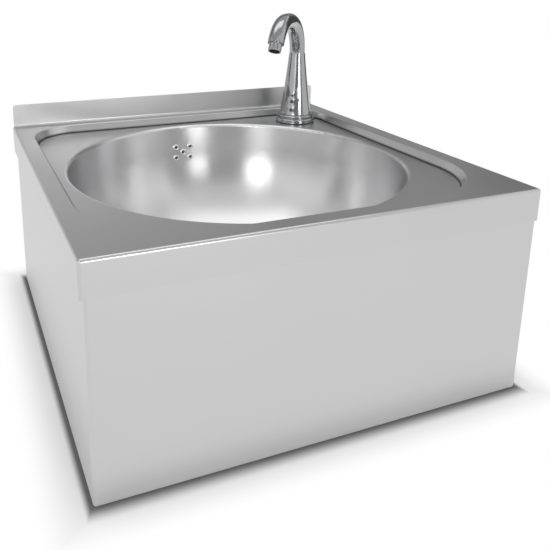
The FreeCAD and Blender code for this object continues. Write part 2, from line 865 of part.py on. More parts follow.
def tap_seal_washer():
    return at_tap(tube(washer_radius, shank_radius + shank_gap, below_deck(seal_washer_thickness),
                       below_deck(0)))


def tap_clamp_washer():
    low = seal_washer_thickness + clamp_washer_thickness
    return at_tap(tube(washer_radius, shank_radius + shank_gap, below_deck(low),
                       below_deck(seal_washer_thickness)))


def tap_lock_nut():
    high = seal_washer_thickness + clamp_washer_thickness
    return at_tap(nut(lock_nut_flats, shank_radius + shank_gap, below_deck(high + lock_nut_height),
                      below_deck(high)))


def aerator_housing():
    points, way = neck_points()
    mouth = points[-1]
    face = mouth + way * aerator_length
    body = rod(aerator_radius, mouth, face)
    rim = [edge for edge in body.Edges if (edge.CenterOfMass - face).Length < 0.01]
    body = body.makeFillet(0.6, rim)
    body = body.fuse(rod(aerator_thread_radius, mouth - way * aerator_thread_length, mouth + way))
    body = body.cut(rod(aerator_screen_radius + 0.1, mouth + way * 2, face + way))
    return at_tap(body)


def aerator_insert():
    points, way = neck_points()
    mouth = points[-1]
    return at_tap(rod(aerator_screen_radius, mouth + way * 2, mouth + way * (aerator_length - 0.8)))


# ---- valves and hose -----------------------------------------------------------------------------
def on_pipe(x):
    return V(x, valve_y, valve_z)


def chamber_top():
    return valve_z + chamber_rise


def solenoid_body():
    body = rod(pipe_radius, on_pipe(joint_face_x), on_pipe(outlet_end_x))
    body = body.fuse(rod(chamber_radius, V(valve_x, valve_y, valve_z - chamber_drop),
                         V(valve_x, valve_y, chamber_top())))
    return body.cut(rod(plunger_radius + plunger_gap, V(valve_x, valve_y,
                                                        chamber_top() - plunger_seat_depth),
                        V(valve_x, valve_y, chamber_top() + 1)))


def solenoid_coil():
    base = chamber_top()
    body = rod(coil_radius, V(valve_x, valve_y, base), V(valve_x, valve_y, base + coil_height))
    body = round_rod_top(body, base + coil_height, 1.5)
    low, half = base + plug_base, plug_height / 2
    plug = box(valve_x - half, valve_x + half, valve_y, valve_y + coil_radius + plug_reach, low,
               low + plug_height)
    bore_top = base - plunger_seat_depth + plunger_length + plunger_stroke + 1
    bore = rod(plunger_radius + plunger_gap, V(valve_x, valve_y, base - 1), V(valve_x, valve_y, bore_top))
    return body.fuse(plug).cut(bore)


def round_rod_top(body, z, radius):
    return body.makeFillet(radius, [edge for edge in body.Edges if on_lines(edge, [{"z": z}])])


def solenoid_plunger():
    base = chamber_top() - plunger_seat_depth + 0.3
    return rod(plunger_radius, V(valve_x, valve_y, base), V(valve_x, valve_y, base + plunger_length))


def union_nut():
    start = joint_face_x - union_nut_length / 2
    return nut(union_nut_flats, pipe_radius + 0.1, on_pipe(start), on_pipe(start + union_nut_length))


def stop_valve_body():
    body = rod(stop_valve_radius, on_pipe(stop_valve_start_x),
               on_pipe(joint_face_x - union_nut_length / 2 - 1))
    body = body.makeFillet(2.0, [edge for edge in body.Edges if edge.Closed])
    body = body.fuse(rod(pipe_radius, on_pipe(joint_face_x - union_nut_length / 2 - 3),
                         on_pipe(joint_face_x)))
    inlet_top = V(inlet_x, valve_y, valve_z)
    shoulder = V(inlet_x, valve_y, inlet_base() + inlet_length)
    body = body.fuse(rod(inlet_collar_radius, inlet_top, shoulder))
    body = body.fuse(rod(inlet_radius, shoulder, V(inlet_x, valve_y, inlet_base())))
    body = body.fuse(rod(stem_boss_radius, inlet_top, V(inlet_x, stem_boss_back, valve_z)))
    body = body.cut(rod(stem_radius + stem_gap, V(inlet_x, valve_y + 5, valve_z),
                        V(inlet_x, stem_boss_back + 1, valve_z)))
    return body.cut(rod(inlet_radius - 3, V(inlet_x, valve_y, inlet_base() - 1),
                        V(inlet_x, valve_y, inlet_base() + inlet_length)))


def inlet_base():
    return valve_z - stop_valve_radius - inlet_collar_length - inlet_length


def stop_valve_stem():
    return rod(stem_radius, V(inlet_x, valve_y + 5.3, valve_z),
               V(inlet_x, lever_back + lever_thickness, valve_z))


def stop_valve_handle():
    back = lever_back + lever_thickness
    hub = rod(lever_width / 2 + 2, V(inlet_x, lever_back, valve_z), V(inlet_x, back, valve_z))
    arm = box(inlet_x, inlet_x + lever_length - lever_width / 2, lever_back, back,
              valve_z - lever_width / 2, valve_z + lever_width / 2)
    tip = V(inlet_x + lever_length - lever_width / 2, lever_back, valve_z)
    body = hub.fuse(arm).fuse(rod(lever_width / 2, tip, tip + V(0, lever_thickness, 0)))
    return body.cut(rod(stem_radius + 0.02, V(inlet_x, lever_back - 1, valve_z),
                        V(inlet_x, back + 1, valve_z)))


def handle_screw():
    back = lever_back + lever_thickness
    return rod(stem_radius + 1.5, V(inlet_x, back, valve_z), V(inlet_x, back + 2.2, valve_z))


def hose_nuts():
    """One nut on the valve's outlet and one on the tap's shank, each closing in to the hose."""
    nuts = []
    shank_end = V(tap_x, tap_y, floor_z - shank_reach)
    for joint_face, way, bore in ((on_pipe(outlet_end_x), V(1, 0, 0), pipe_radius),
                                  (shank_end, V(0, 0, -1), shank_radius)):
        flats = hose_nut_flats + 2 * (bore - pipe_radius)
        start, end = joint_face - way * hose_nut_grip, joint_face + way * (hose_nut_length - hose_nut_grip)
        body = hexagon(flats, start, end).cut(rod(bore + 0.1, start, joint_face))
        nuts.append(body.cut(rod(hose_radius + 0.1, start, end)))
    return Part.makeCompound(nuts)


def tap_hose():
    top = V(tap_x, tap_y, floor_z - shank_reach)
    end = on_pipe(outlet_end_x)
    points = [top, top - UP * 34, V(tap_x - 1, tap_y + 12, valve_z + 6), V(tap_x - 12, valve_y, valve_z),
              end]
    return tube_along(points, hose_radius, free_bends(points))


def bracket_screw_heights():
    middle = rail_base + rail_height / 2
    return (middle - 5, middle + 4)


def valve_bracket():
    ring_inner = chamber_radius + bracket_ring_gap
    low, high = chamber_top() - 9, chamber_top() - 1
    centre = V(valve_x, valve_y, 0)
    body = tube(ring_inner + bracket_thickness, ring_inner, centre + UP * low, centre + UP * high)
    strap_face = wall_face - bracket_thickness
    half = bracket_width / 2
    body = body.fuse(box(valve_x - half, valve_x + half, valve_y + ring_inner + 0.6, wall_face, low, high))
    body = body.fuse(box(valve_x - half, valve_x + half, strap_face, wall_face, low,
                         rail_base + rail_height - 3.8))
    for z in bracket_screw_heights():
        body = body.cut(rod(small_screw_radius + 0.1, V(valve_x, strap_face - 1, z), V(valve_x, rear, z)))
    return body


def bracket_screws():
    strap_face = wall_face - bracket_thickness
    return Part.makeCompound([pan_screw(V(valve_x, strap_face, z), V(valve_x, rear, z))
                              for z in bracket_screw_heights()])


# ---- control box and leads -----------------------------------------------------------------------
def box_screw_x():
    return casing_left + rear_return / 2


def box_screw_heights():
    return (box_base - ear_height / 2, box_top + ear_height / 2)


def hinge_line():
    return box_left + 3.5, box_base - cover_gap - knuckle_radius


def control_box():
    body = box(box_left, box_right, box_front, box_back, box_base, box_top)
    body = round_lines(body, 2.0, [{"x": box_right, "y": box_front}, {"x": box_left, "y": box_front},
                                   {"x": box_right, "z": box_top}, {"y": box_front, "z": box_top}])
    for y, z in ((box_back - box_wall, box_base + box_wall), (hinge_back() - 4, box_base - 1)):
        body = body.cut(box(box_left + box_wall, box_right - box_wall, box_front + box_wall, y, z,
                            box_top - box_wall))
    ear_face = wall_face - ear_thickness
    for z in box_screw_heights():
        half = ear_height / 2
        ear = box(box_screw_x() - 8, box_screw_x() + 8, ear_face, wall_face, z - half, z + half)
        body = body.fuse(ear).cut(rod(small_screw_radius + 0.1, V(box_screw_x(), ear_face - 1, z),
                                      V(box_screw_x(), rear, z)))
    hinge_x, hinge_z = hinge_line()
    for y in (box_front, hinge_back() - 4):
        lug = box(box_left, hinge_x + knuckle_radius, y, y + 4, hinge_z - knuckle_radius, box_base + 1)
        body = body.fuse(lug.cut(rod(hinge_pin_radius + 0.02, V(hinge_x, y - 1, hinge_z),
                                     V(hinge_x, y + 5, hinge_z))))
    for z in (sensor_gland_z, valve_gland_z):
        body = body.fuse(rod(cable_radius + 2, V(box_right - 0.5, gland_y, z), V(box_right + 4, gland_y, z)))
        body = body.cut(rod(cable_radius + 0.1, V(box_right - 3, gland_y, z), V(box_right + 5, gland_y, z)))
    return body


def hinge_back():
    """Rear end of the cover and its hinge, clear of the lower ear."""
    return wall_face - ear_thickness - 4


def hinge_pin():
    x, z = hinge_line()
    return rod(hinge_pin_radius, V(x, box_front, z), V(x, hinge_back(), z))


def battery_cover():
    x, z = hinge_line()
    high = box_base - cover_gap
    low = high - cover_thickness
    y0, y1 = box_front + 4.5, hinge_back() - 4.5
    body = box(x, box_right, y0, y1, low, high)
    body = round_lines(body, 2.0, [{"x": box_right, "y": y0}, {"x": box_right, "y": y1}])
    body = body.fuse(rod(knuckle_radius, V(x, y0, z), V(x, y1, z)))
    body = body.cut(rod(hinge_pin_radius + hinge_gap, V(x, y0 - 1, z), V(x, y1 + 1, z)))
    middle = (y0 + y1) / 2
    grip = box(box_right - 6, box_right - 3, middle - 8, middle + 8, low - 1, low + 1)
    return body.cut(grip)


def batteries():
    cells = []
    base = box_base + cover_gap
    for column in (0, 1):
        for row in (0, 1):
            x = box_left + battery_margin + 1 + column * (2 * battery_radius + battery_gap)
            y = box_front + battery_margin + row * (2 * battery_radius + battery_gap)
            cell = rod(battery_radius, V(x, y, base), V(x, y, base + battery_length - 1.2))
            cells.append(cell.fuse(rod(2.6, V(x, y, base), V(x, y, base + battery_length))))
    return Part.makeCompound(cells)


def control_board():
    y = box_front + board_setback
    return box(box_left + box_wall, box_right - box_wall, y, y + board_thickness, box_base + 6, box_top - 10)


def box_screws():
    ear_face = wall_face - ear_thickness
    return Part.makeCompound([pan_screw(V(box_screw_x(), ear_face, z), V(box_screw_x(), rear, z))
                              for z in box_screw_heights()])


def to_box(lead_z, gland_z):
    """The last stretch of a lead, from the run along the wall into its gland."""
    turn_x = box_right + cable_turn
    return [V(turn_x + cable_turn, cable_back, lead_z), V(turn_x, gland_y, gland_z),
            V(box_right, gland_y, gland_z)]


def sensor_cable():
    side = (shank_radius + 0.2) / math.sqrt(2)
    start = V(tap_x - side, tap_y + side, floor_z - sheet - cable_exit_drop)
    wall_run = start.x - (cable_back - start.y)
    middle = V((start.x + wall_run) / 2, (start.y + cable_back) / 2 + cable_radius,
               (start.z + sensor_cable_z) / 2)
    points = [start, middle, V(wall_run - cable_turn / 4, cable_back, sensor_cable_z)]
    points += to_box(sensor_cable_z, sensor_gland_z)
    return tube_along(points, cable_radius, free_bends(points))


def valve_cable():
    plug_top = chamber_top() + plug_base + plug_height
    plug_y = valve_y + coil_radius + plug_reach / 2
    rise = (valve_cable_z - plug_top) / 2
    points = [V(valve_x, plug_y, plug_top), V(valve_x, plug_y, plug_top + rise),
              V(valve_x - cable_turn, cable_back, valve_cable_z)]
    points += to_box(valve_cable_z, valve_gland_z)
    return tube_along(points, cable_radius, free_bends(points))


def cable_clips():
    clips = []
    lead_room = cable_radius + clip_foot
    for number in range(3):
        x = valve_x - 2 * cable_turn - number * clip_spacing
        x0, x1 = x - clip_width / 2, x + clip_width / 2
        body = box(x0, x1, wall_face - clip_foot, wall_face, valve_cable_z - lead_room,
                   rail_base + clip_rise)
        body = body.fuse(box(x0, x1, cable_back - lead_room, wall_face, valve_cable_z - lead_room,
                             sensor_cable_z + lead_room))
        for z in (sensor_cable_z, valve_cable_z):
            body = body.cut(rod(cable_radius + 0.1, V(x0 - 1, cable_back, z), V(x1 + 1, cable_back, z)))
        clips.append(body)
    return Part.makeCompound(clips)


# ---- every piece ---------------------------------------------------------------------------------
pieces = [deck, bowl, casing, rear_rail, lower_rail, overflow_seal, overflow_housing, overflow_nuts,
          overflow_hose, hose_clamps, drain_seal, drain_strainer, drain_screw, drain_lower_seal, drain_body,
          tap_body, sensor_lenses, status_lens, sensor_module, tap_base_ring, tap_base_gasket, tap_shank,
          tap_seal_washer, tap_clamp_washer, tap_lock_nut, aerator_housing, aerator_insert, solenoid_body,
          solenoid_coil, solenoid_plunger, union_nut, stop_valve_body, stop_valve_stem, stop_valve_handle,
          handle_screw, hose_nuts, tap_hose, valve_bracket, bracket_screws, control_box, hinge_pin,
          battery_cover, batteries, control_board, box_screws, sensor_cable, valve_cable, cable_clips]

os.makedirs("parts", exist_ok=True)
for piece in pieces:
    save(piece.__name__, piece())
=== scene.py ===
import json
import math
import bmesh
import bpy
from mathutils import Matrix, Vector


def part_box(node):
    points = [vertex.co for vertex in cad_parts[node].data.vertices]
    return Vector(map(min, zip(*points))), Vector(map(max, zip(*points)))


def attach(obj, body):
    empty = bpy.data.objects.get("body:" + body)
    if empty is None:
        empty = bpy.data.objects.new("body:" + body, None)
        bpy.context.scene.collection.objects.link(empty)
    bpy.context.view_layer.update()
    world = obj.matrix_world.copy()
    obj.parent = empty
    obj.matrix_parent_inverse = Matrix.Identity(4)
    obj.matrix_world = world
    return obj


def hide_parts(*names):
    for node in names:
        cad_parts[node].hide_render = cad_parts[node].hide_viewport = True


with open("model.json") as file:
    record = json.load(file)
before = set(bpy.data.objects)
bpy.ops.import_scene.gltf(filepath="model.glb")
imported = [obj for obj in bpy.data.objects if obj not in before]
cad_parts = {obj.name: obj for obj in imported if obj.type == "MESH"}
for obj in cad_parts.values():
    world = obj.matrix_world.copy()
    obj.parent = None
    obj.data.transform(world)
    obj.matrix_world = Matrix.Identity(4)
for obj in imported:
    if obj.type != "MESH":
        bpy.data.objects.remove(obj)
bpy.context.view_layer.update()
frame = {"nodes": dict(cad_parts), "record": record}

cadNodes = frame["nodes"]
mm = 0.001
tiny = 0.0001 * mm
fullTurn = 2 * math.pi
white = (1, 1, 1, 1)
print("frame:", len(cadNodes), "nodes")

shot = {"place": (-0.2675, -0.6071, 0.3791), "azimuth": 21.98, "elevation": 14.51, "roll": 0.23,
        "lens": 44.18, "shiftX": 0.107, "shiftY": -0.245}
studio = {"fill": 0.65, "floorHalf": 4.5, "floorColour": (0.98, 0.98, 0.98, 1),
          "fadeStart": 0.2, "fadeEnd": 0.24, "footHalf": 0.1985, "sideReach": 0.0065, "frontReach": 0.016,
          # the painted contact shadow's share and colour
          "paintedShadowShare": 0.88, "paintedShadowColour": (0.05, 0.05, 0.05, 1),
          "cardLeft": -0.2, "cardRight": 2.0, "cardLow": 0.85, "cardHigh": 1.5}
softboxes = {                                   # place, aim, width and height in metres, watts
    "overheadSoftbox": ((0.1, 0.3, 1.9), (0, 0, 0.1), (1.9, 0.8), 7.0),
    "leftSoftbox": ((-1.35, -1.5, 0.9), (0, 0, 0.1), (0.6, 0.8), 7.0),
    "frontSoftbox": ((0.3, -2.1, 0.42), (0, 0, 0.12), (0.5, 0.75), 9.0)}
greyCards = {                                   # brightness at the left, the right and above, then corners
    "rearCard": ((0.76, 0.34, 0.24),
                 [(-2.4, 2.2, -0.2), (2.4, 2.2, -0.2), (2.4, 2.2, 2.4), (-2.4, 2.2, 2.4)]),
    "rightCard": ((0.1, 0.1, 0.1),
                  [(2.4, 2.2, -0.1), (2.4, 0.1, -0.1), (2.4, 0.1, 1.8), (2.4, 2.2, 1.8)]),
    "frontCard": ((0.3, 0.3, 0.3),
                  [(-2.0, -2.3, 0.02), (1.6, -2.3, 0.02), (1.6, -2.3, 2.2), (-2.0, -2.3, 2.2)]),
    "leftCard": ((0.25, 0.25, 0.25),
                 [(-2.6, 2.2, 0.1), (-2.6, 0.8, 0.1), (-2.6, 0.8, 1.8), (-2.6, 2.2, 1.8)]),
    "ceilingCard": ((0.6, 0.6, 0.6),
                    [(-2.4, 2.2, 2.5), (2.4, 2.2, 2.5), (2.4, -1.6, 2.5), (-2.4, -1.6, 2.5)])}
rays = {"camera": 0, "glossy": 3, "through": 6}  # outputs of the Light Path node


class Wire:                                     # a socket, so that a sum of sockets is written as a sum
    def __init__(self, net, socket):
        self.net, self.socket = net, socket

    def sum(self, operation, other=0.0, swapped=False):
        first, second = (other, self) if swapped else (self, other)
        return self.net.add("ShaderNodeMath", {"operation": operation}, {0: first, 1: second})

    def __add__(self, other):
        return self.sum("ADD", other)

    def __radd__(self, other):
        return self.sum("ADD", other, True)

    def __sub__(self, other):
        return self.sum("SUBTRACT", other)

    def __rsub__(self, other):
        return self.sum("SUBTRACT", other, True)

    def __mul__(self, other):
        return self.sum("MULTIPLY", other)

    def __rmul__(self, other):
        return self.sum("MULTIPLY", other, True)

    def __truediv__(self, other):
        return self.sum("DIVIDE", other)

    def __pow__(self, other):
        return self.sum("POWER", other)

    def __gt__(self, other):
        return self.sum("GREATER_THAN", other)

    def __lt__(self, other):
        return self.sum("LESS_THAN", other)

    def __abs__(self):
        return self.sum("ABSOLUTE")

    def swing(self, size):                      # a noise from 0 to 1 made to swing about nothing
        return (self - 0.5) * size


class Net:                                      # a node tree, written from its first node to its last
    def __init__(self, tree):
        tree.nodes.clear()
        self.tree = tree

    def add(self, kind, settings=None, values=None, out=0):
        node = self.tree.nodes.new(kind)
        for name, setting in (settings or {}).items():
            setattr(node, name, setting)
        for name, value in (values or {}).items():
            for part in value if isinstance(value, list) else [value]:
                if isinstance(part, Wire):
                    self.tree.links.new(part.socket, node.inputs[name])
                else:
                    node.inputs[name].default_value = part
        return Wire(self, node.outputs[out]) if node.outputs else None

    # numbers and vectors
    def axis(self, vector, number):
        return self.add("ShaderNodeSeparateXYZ", {}, {0: vector}, number)

    def joined(self, x, y, z):
        return self.add("ShaderNodeCombineXYZ", {}, {0: x, 1: y, 2: z})

    def vector(self, operation, first, second):
        return self.add("ShaderNodeVectorMath", {"operation": operation}, {0: first, 1: second})

    def scaled(self, vector, size):
        return self.add("ShaderNodeVectorMath", {"operation": "SCALE"}, {0: vector, "Scale": size})

    # looks
    def place(self):                            # where a point is, in the object's own frame
        return self.add("ShaderNodeTexCoord", out=3)

    def ray(self, kind):
        return self.add("ShaderNodeLightPath", out=rays[kind])

    def stretched(self, where, scale):
        return self.add("ShaderNodeMapping", {}, {"Vector": where, "Scale": scale})

    def noise(self, where, scale, detail=3.0, hardness=0.55):
        return self.add("ShaderNodeTexNoise", {}, {"Vector": where, "Scale": scale, "Detail": detail,
                                                   "Roughness": hardness})

    def ease(self, value, low, high):           # 0 up to low, 1 from high on
        return self.add("ShaderNodeMapRange", {"interpolation_type": "SMOOTHSTEP"},
                        {"Value": value, "From Min": low, "From Max": high})

    def near(self, value, target, reach):       # 1 on the target, 0 beyond the reach
        return 1 - self.ease(abs(value - target), 0.0, reach)

    def blend(self, factor, first, second):     # colours
        return self.add("ShaderNodeMix", {"data_type": "RGBA"}, {0: factor, 6: first, 7: second}, 2)

    def over(self, factor, under, upper):       # shaders
        return self.add("ShaderNodeMixShader", {}, {0: factor, 1: under, 2: upper})

    def finish(self, colour, rough, height, depth, **fixed):
        bump = self.add("ShaderNodeBump", {}, {"Strength": 1.0, "Distance": depth, "Height": height})
        values = {"Base Color": colour, "Roughness": rough, "Normal": bump}
        values.update({name.replace("_", " "): value for name, value in fixed.items()})
        surface = self.add("ShaderNodeBsdfPrincipled", {}, values)
        self.add("ShaderNodeOutputMaterial", {}, {"Surface": surface})

    # geometry
    def spot(self):
        return self.add("GeometryNodeInputPosition")

    def line(self, start, mode, **step):        # a held route, resampled
        curve = self.add("GeometryNodeMeshToCurve", {}, {"Mesh": start})
        return self.add("GeometryNodeResampleCurve", {"mode": mode}, {"Curve": curve, **step})

    def circle(self, around, radius):
        return self.add("GeometryNodeCurvePrimitiveCircle", {}, {"Resolution": around, "Radius": radius})

    def swept(self, line, profile, **more):
        return self.add("GeometryNodeCurveToMesh", {}, {"Curve": line, "Profile Curve": profile,
                                                        "Fill Caps": True, **more})

    def facing(self, axis, vector):             # the turn that points an axis along a vector
        return self.add("FunctionNodeAlignRotationToVector", {"axis": axis}, {"Vector": vector})

    def piece(self, thing):                     # the shape of another object
        return self.add("GeometryNodeObjectInfo", {}, {"Object": thing}, 4)

    def onEach(self, places, shape, **more):
        return self.add("GeometryNodeInstanceOnPoints", {}, {"Points": places, "Instance": shape, **more})

    def moved(self, shape, **move):
        return self.add("GeometryNodeTransform", {}, {"Geometry": shape, **move})

    def together(self, shapes):
        return self.add("GeometryNodeJoinGeometry", {}, {0: shapes})


def shade(colour, share=1.0, more=0.0):
    return tuple(min(part * share + more, 1.0) for part in colour[:3]) + (1,)


def startMaterial(name):
    material = bpy.data.materials.new(name)
    material.use_nodes = True
    return material, Net(material.node_tree)


def linked(name, data):
    thing = bpy.data.objects.new(name, data)
    bpy.context.scene.collection.objects.link(thing)
    return thing


def look(azimuth, elevation, roll):
    azimuth, elevation, roll = map(math.radians, (azimuth, elevation, roll))
    ahead = Vector((math.sin(azimuth) * math.cos(elevation), math.cos(azimuth) * math.cos(elevation),
                    -math.sin(elevation)))
    side = ahead.cross(Vector((0, 0, 1))).normalized()
    over = side.cross(ahead)
    across = side * math.cos(roll) + over * math.sin(roll)
    upwards = over * math.cos(roll) - side * math.sin(roll)
    return Matrix((across, upwards, -ahead)).transposed().to_4x4()


camera = linked("camera", bpy.data.cameras.new("camera"))
turn = look(shot["azimuth"], shot["elevation"], shot["roll"])
camera.matrix_world = Matrix.Translation(shot["place"]) @ turn
camera.data.lens = shot["lens"]
camera.data.shift_x, camera.data.shift_y = shot["shiftX"], shot["shiftY"]
bpy.context.scene.camera = camera
bpy.context.scene.view_settings.view_transform = "Standard"

# air: white where the camera, metal and glass see it, a plain grey fill as light
world = bpy.data.worlds.new("studioAir")
bpy.context.scene.world = world
world.use_nodes = True
net = Net(world.node_tree)
seen = (net.ray("camera") + net.ray("glossy") + net.ray("through")).sum("MINIMUM", 1.0)
strength = studio["fill"] + seen * (1 - studio["fill"])
air = net.add("ShaderNodeBackground", {}, {"Color": white, "Strength": strength})
net.add("ShaderNodeOutputWorld", {}, {"Surface": air})


def card(name, corners, material):
    data = bpy.data.meshes.new(name)
    data.from_pydata(corners, [], [(0, 1, 2, 3)])
    data.materials.append(material)
    thing = linked(name, data)
    return thing


# floor: pale, keeps the shadow, and fades into the white air away from the sink
material, net = startMaterial("studioFloor")
awayX, awayY = abs(net.axis(net.place(), 0)), abs(net.axis(net.place(), 1))
fade = net.ease(awayX.sum("MAXIMUM", awayY), studio["fadeStart"], studio["fadeEnd"])
seen = (net.ray("camera") + net.ray("glossy")).sum("MINIMUM", 1.0)
matt = net.add("ShaderNodeBsdfDiffuse", {}, {"Color": studio["floorColour"]})
glow = net.add("ShaderNodeEmission", {}, {"Color": white, "Strength": 1.0})
both = net.over(fade * seen, matt, glow)
# a painted contact shadow: a thin dark band where the casing meets the floor and under the sink, for the
# camera only
offX = (awayX - studio["footHalf"]) / studio["sideReach"]
offY = (awayY - studio["footHalf"]) / studio["frontReach"]
paintedContactShadow = 1 - net.ease(offX.sum("MAXIMUM", offY), 0.0, 1.0)
paintedShade = net.add("ShaderNodeBsdfDiffuse", {}, {"Color": studio["paintedShadowColour"]})
both = net.over(paintedContactShadow * studio["paintedShadowShare"] * net.ray("camera"), both, paintedShade)
net.add("ShaderNodeOutputMaterial", {}, {"Surface": both})
half = studio["floorHalf"]
card("studioFloor", [(-half, -half, 0), (half, -half, 0), (half, half, 0), (-half, half, 0)], material)

for name, ((left, right, above), corners) in greyCards.items():  # seen only in the metal
    material, net = startMaterial(name)
    across = net.ease(net.axis(net.place(), 0), studio["cardLeft"], studio["cardRight"])
    upwards = net.ease(net.axis(net.place(), 2), studio["cardLow"], studio["cardHigh"])
    strength = left + across * (right - left)
    strength = strength + upwards * (above - strength)
    glow = net.add("ShaderNodeEmission", {}, {"Color": white, "Strength": strength})
    net.add("ShaderNodeOutputMaterial", {}, {"Surface": glow})
    thing = card(name, corners, material)
    thing.visible_camera = thing.visible_diffuse = thing.visible_shadow = False

for name, (place, aim, size, watts) in softboxes.items():
    light = bpy.data.lights.new(name, "AREA")
    light.shape = "RECTANGLE"
    light.size, light.size_y = size
    light.energy = watts
    turn = (Vector(aim) - Vector(place)).to_track_quat("-Z", "Y").to_matrix().to_4x4()
    linked(name, light).matrix_world = Matrix.Translation(place) @ turn
print("camera and studio")


# sheet steel: ground lines, a painted shade line at the recess's foot, painted shade on its left lip,
# and painted highlights on the bends at the casing's front corners
sheet = {"cloudScale": 7.0, "cloudDetail": 4.0, "lineScale": 1500.0, "lineStretch": 6.0,
         "lineDetail": 4.0, "lineHardness": 0.7, "lineRough": 0.12, "sideFacing": 0.7,
         "lineShare": 0.6, "cloudShare": 0.4, "darkest": 0.95, "brightest": 1.04,
         # where the recess's painted shade lines and the bends' painted highlight sit
         "recessFloor": 185 * mm, "recessHalf": (179 * mm, 180 * mm), "recessMiddle": 2 * mm,
         "frontRadius": 86 * mm, "rearRadius": 48 * mm, "footBelow": 0.5 * mm, "footAbove": 2.5 * mm,
         "footOffset": 0.1 * mm, "footLine": 1.15 * mm, "paintedShadeTone": 0.06, "paintedShadeShare": 0.95,
         "lipFacing": (0.2, 0.36), "lipAbove": 4 * mm, "lipReach": 8 * mm, "lipFade": (40 * mm, 130 * mm),
         "lipShare": 0.75, "bend": (396.4 * mm, 397.2 * mm), "bendHighlight": 1.7, "flangeBase": 165 * mm}


def outsideRecess(net, where):                  # how far a point is outside the recess's foot
    front = net.axis(where, 1) < 0.0
    radius = sheet["rearRadius"] + front * (sheet["frontRadius"] - sheet["rearRadius"])
    acrossX = abs(net.axis(where, 0)) - (sheet["recessHalf"][0] - radius)
    acrossY = abs(net.axis(where, 1) - sheet["recessMiddle"]) - (sheet["recessHalf"][1] - radius)
    beyondX, beyondY = acrossX.sum("MAXIMUM", 0.0), acrossY.sum("MAXIMUM", 0.0)
    inside = acrossX.sum("MAXIMUM", acrossY).sum("MINIMUM", 0.0)
    return (beyondX * beyondX + beyondY * beyondY) ** 0.5 + inside - radius


def steelFinish(name, colour, rough, grain=1.0, wave=0.05, grit=0.0000012):
    material, net = startMaterial(name)
    where = net.place()
    normal = net.add("ShaderNodeNewGeometry", out=1)
    height = net.axis(where, 2)
    cloud = net.noise(where, sheet["cloudScale"], sheet["cloudDetail"])
    long, fine = sheet["lineStretch"], sheet["lineScale"]
    lengthwise, sidewise = (
        net.noise(net.stretched(where, scale), 1.0, sheet["lineDetail"], sheet["lineHardness"])
        for scale in ((long, fine, fine), (fine, long, fine)))
    lines = lengthwise + (sidewise - lengthwise) * (abs(net.axis(normal, 0)) > sheet["sideFacing"])

    outside = outsideRecess(net, where)
    # painted shade: a dark line along the crease at the recess's foot
    low = height > sheet["recessFloor"] - sheet["footBelow"]
    low = low * (height < sheet["recessFloor"] + sheet["footAbove"])
    footShade = net.near(outside, sheet["footOffset"], sheet["footLine"]) * low
    # painted shade on the recess's left wall and lip, which face +X, fading out towards the rear
    leftLipShade = net.ease(net.axis(normal, 0), *sheet["lipFacing"])
    leftLipShade = leftLipShade * (height > sheet["recessFloor"] + sheet["lipAbove"]) * (outside < sheet["lipReach"])
    leftLipShade = leftLipShade * (1 - net.ease(net.axis(where, 1), *sheet["lipFade"]))
    paintedShade = footShade.sum("MAXIMUM", leftLipShade * sheet["lipShare"])
    # painted highlight: a lighter line down the casing's front corner bends, below the flange
    bend = net.ease(abs(net.axis(where, 0)) - net.axis(where, 1), *sheet["bend"])
    bend = bend * (height < sheet["flangeBase"])

    tone = net.blend(lines * sheet["lineShare"] * grain + cloud * sheet["cloudShare"],
                     shade(colour, sheet["darkest"]), shade(colour, sheet["brightest"]))
    # the painted highlight on the bends
    tone = net.blend(bend, tone, shade(colour, sheet["bendHighlight"]))
    # the painted shade of the recess's foot and left lip, laid over the grain
    tone = net.blend(paintedShade * sheet["paintedShadeShare"], tone, shade(colour, sheet["paintedShadeTone"]))
    rough = rough + lines.swing(sheet["lineRough"]) * grain + cloud.swing(wave)
    net.finish(tone, rough, lines, grit * grain, Metallic=1.0)
    return material


satin = {"cloudScale": 11.0, "softScale": 42.0, "softDetail": 1.0, "cloudShare": 0.6, "softShare": 0.4,
         "darkest": 0.95, "brightest": 1.04, "cloudRough": 0.03, "softRough": 0.02, "depth": 0.000002,
         "stretchTurn": 0.25}


def satinFinish(name, colour, rough, stretch=0.0):  # even satin; turned work stretches its highlights
    material, net = startMaterial(name)
    where = net.place()
    cloud = net.noise(where, satin["cloudScale"])
    soft = net.noise(where, satin["softScale"], satin["softDetail"])
    tone = net.blend(cloud * satin["cloudShare"] + soft * satin["softShare"],
                     shade(colour, satin["darkest"]), shade(colour, satin["brightest"]))
    rough = rough + cloud.swing(satin["cloudRough"]) + soft.swing(satin["softRough"])
    net.finish(tone, rough, soft, satin["depth"], Metallic=1.0, Anisotropic=stretch,
               Anisotropic_Rotation=satin["stretchTurn"])
    return material


plate = {"cloudScale": 38.0, "gritScale": 700.0, "darkest": 0.93, "cloudRough": 0.03, "castRough": 0.2,
         "castDepth": 0.00003, "leastDepth": 0.0000004}


def platedFinish(name, colour, rough, cast=0.0):  # cast is how much of a casting's grain still shows
    material, net = startMaterial(name)
    where = net.place()
    cloud = net.noise(where, plate["cloudScale"])
    grit = net.noise(where, plate["gritScale"])
    tone = net.blend(cloud, shade(colour, plate["darkest"]), shade(colour))
    rough = rough + cloud.swing(plate["cloudRough"]) + grit.swing(cast) * plate["castRough"]
    net.finish(tone, rough, grit, plate["castDepth"] * cast + plate["leastDepth"], Metallic=1.0)
    return material


plastic = {"cloudScale": 25.0, "darkest": 0.9, "brightest": 1.06, "cellRough": 0.12, "cloudRough": 0.08}


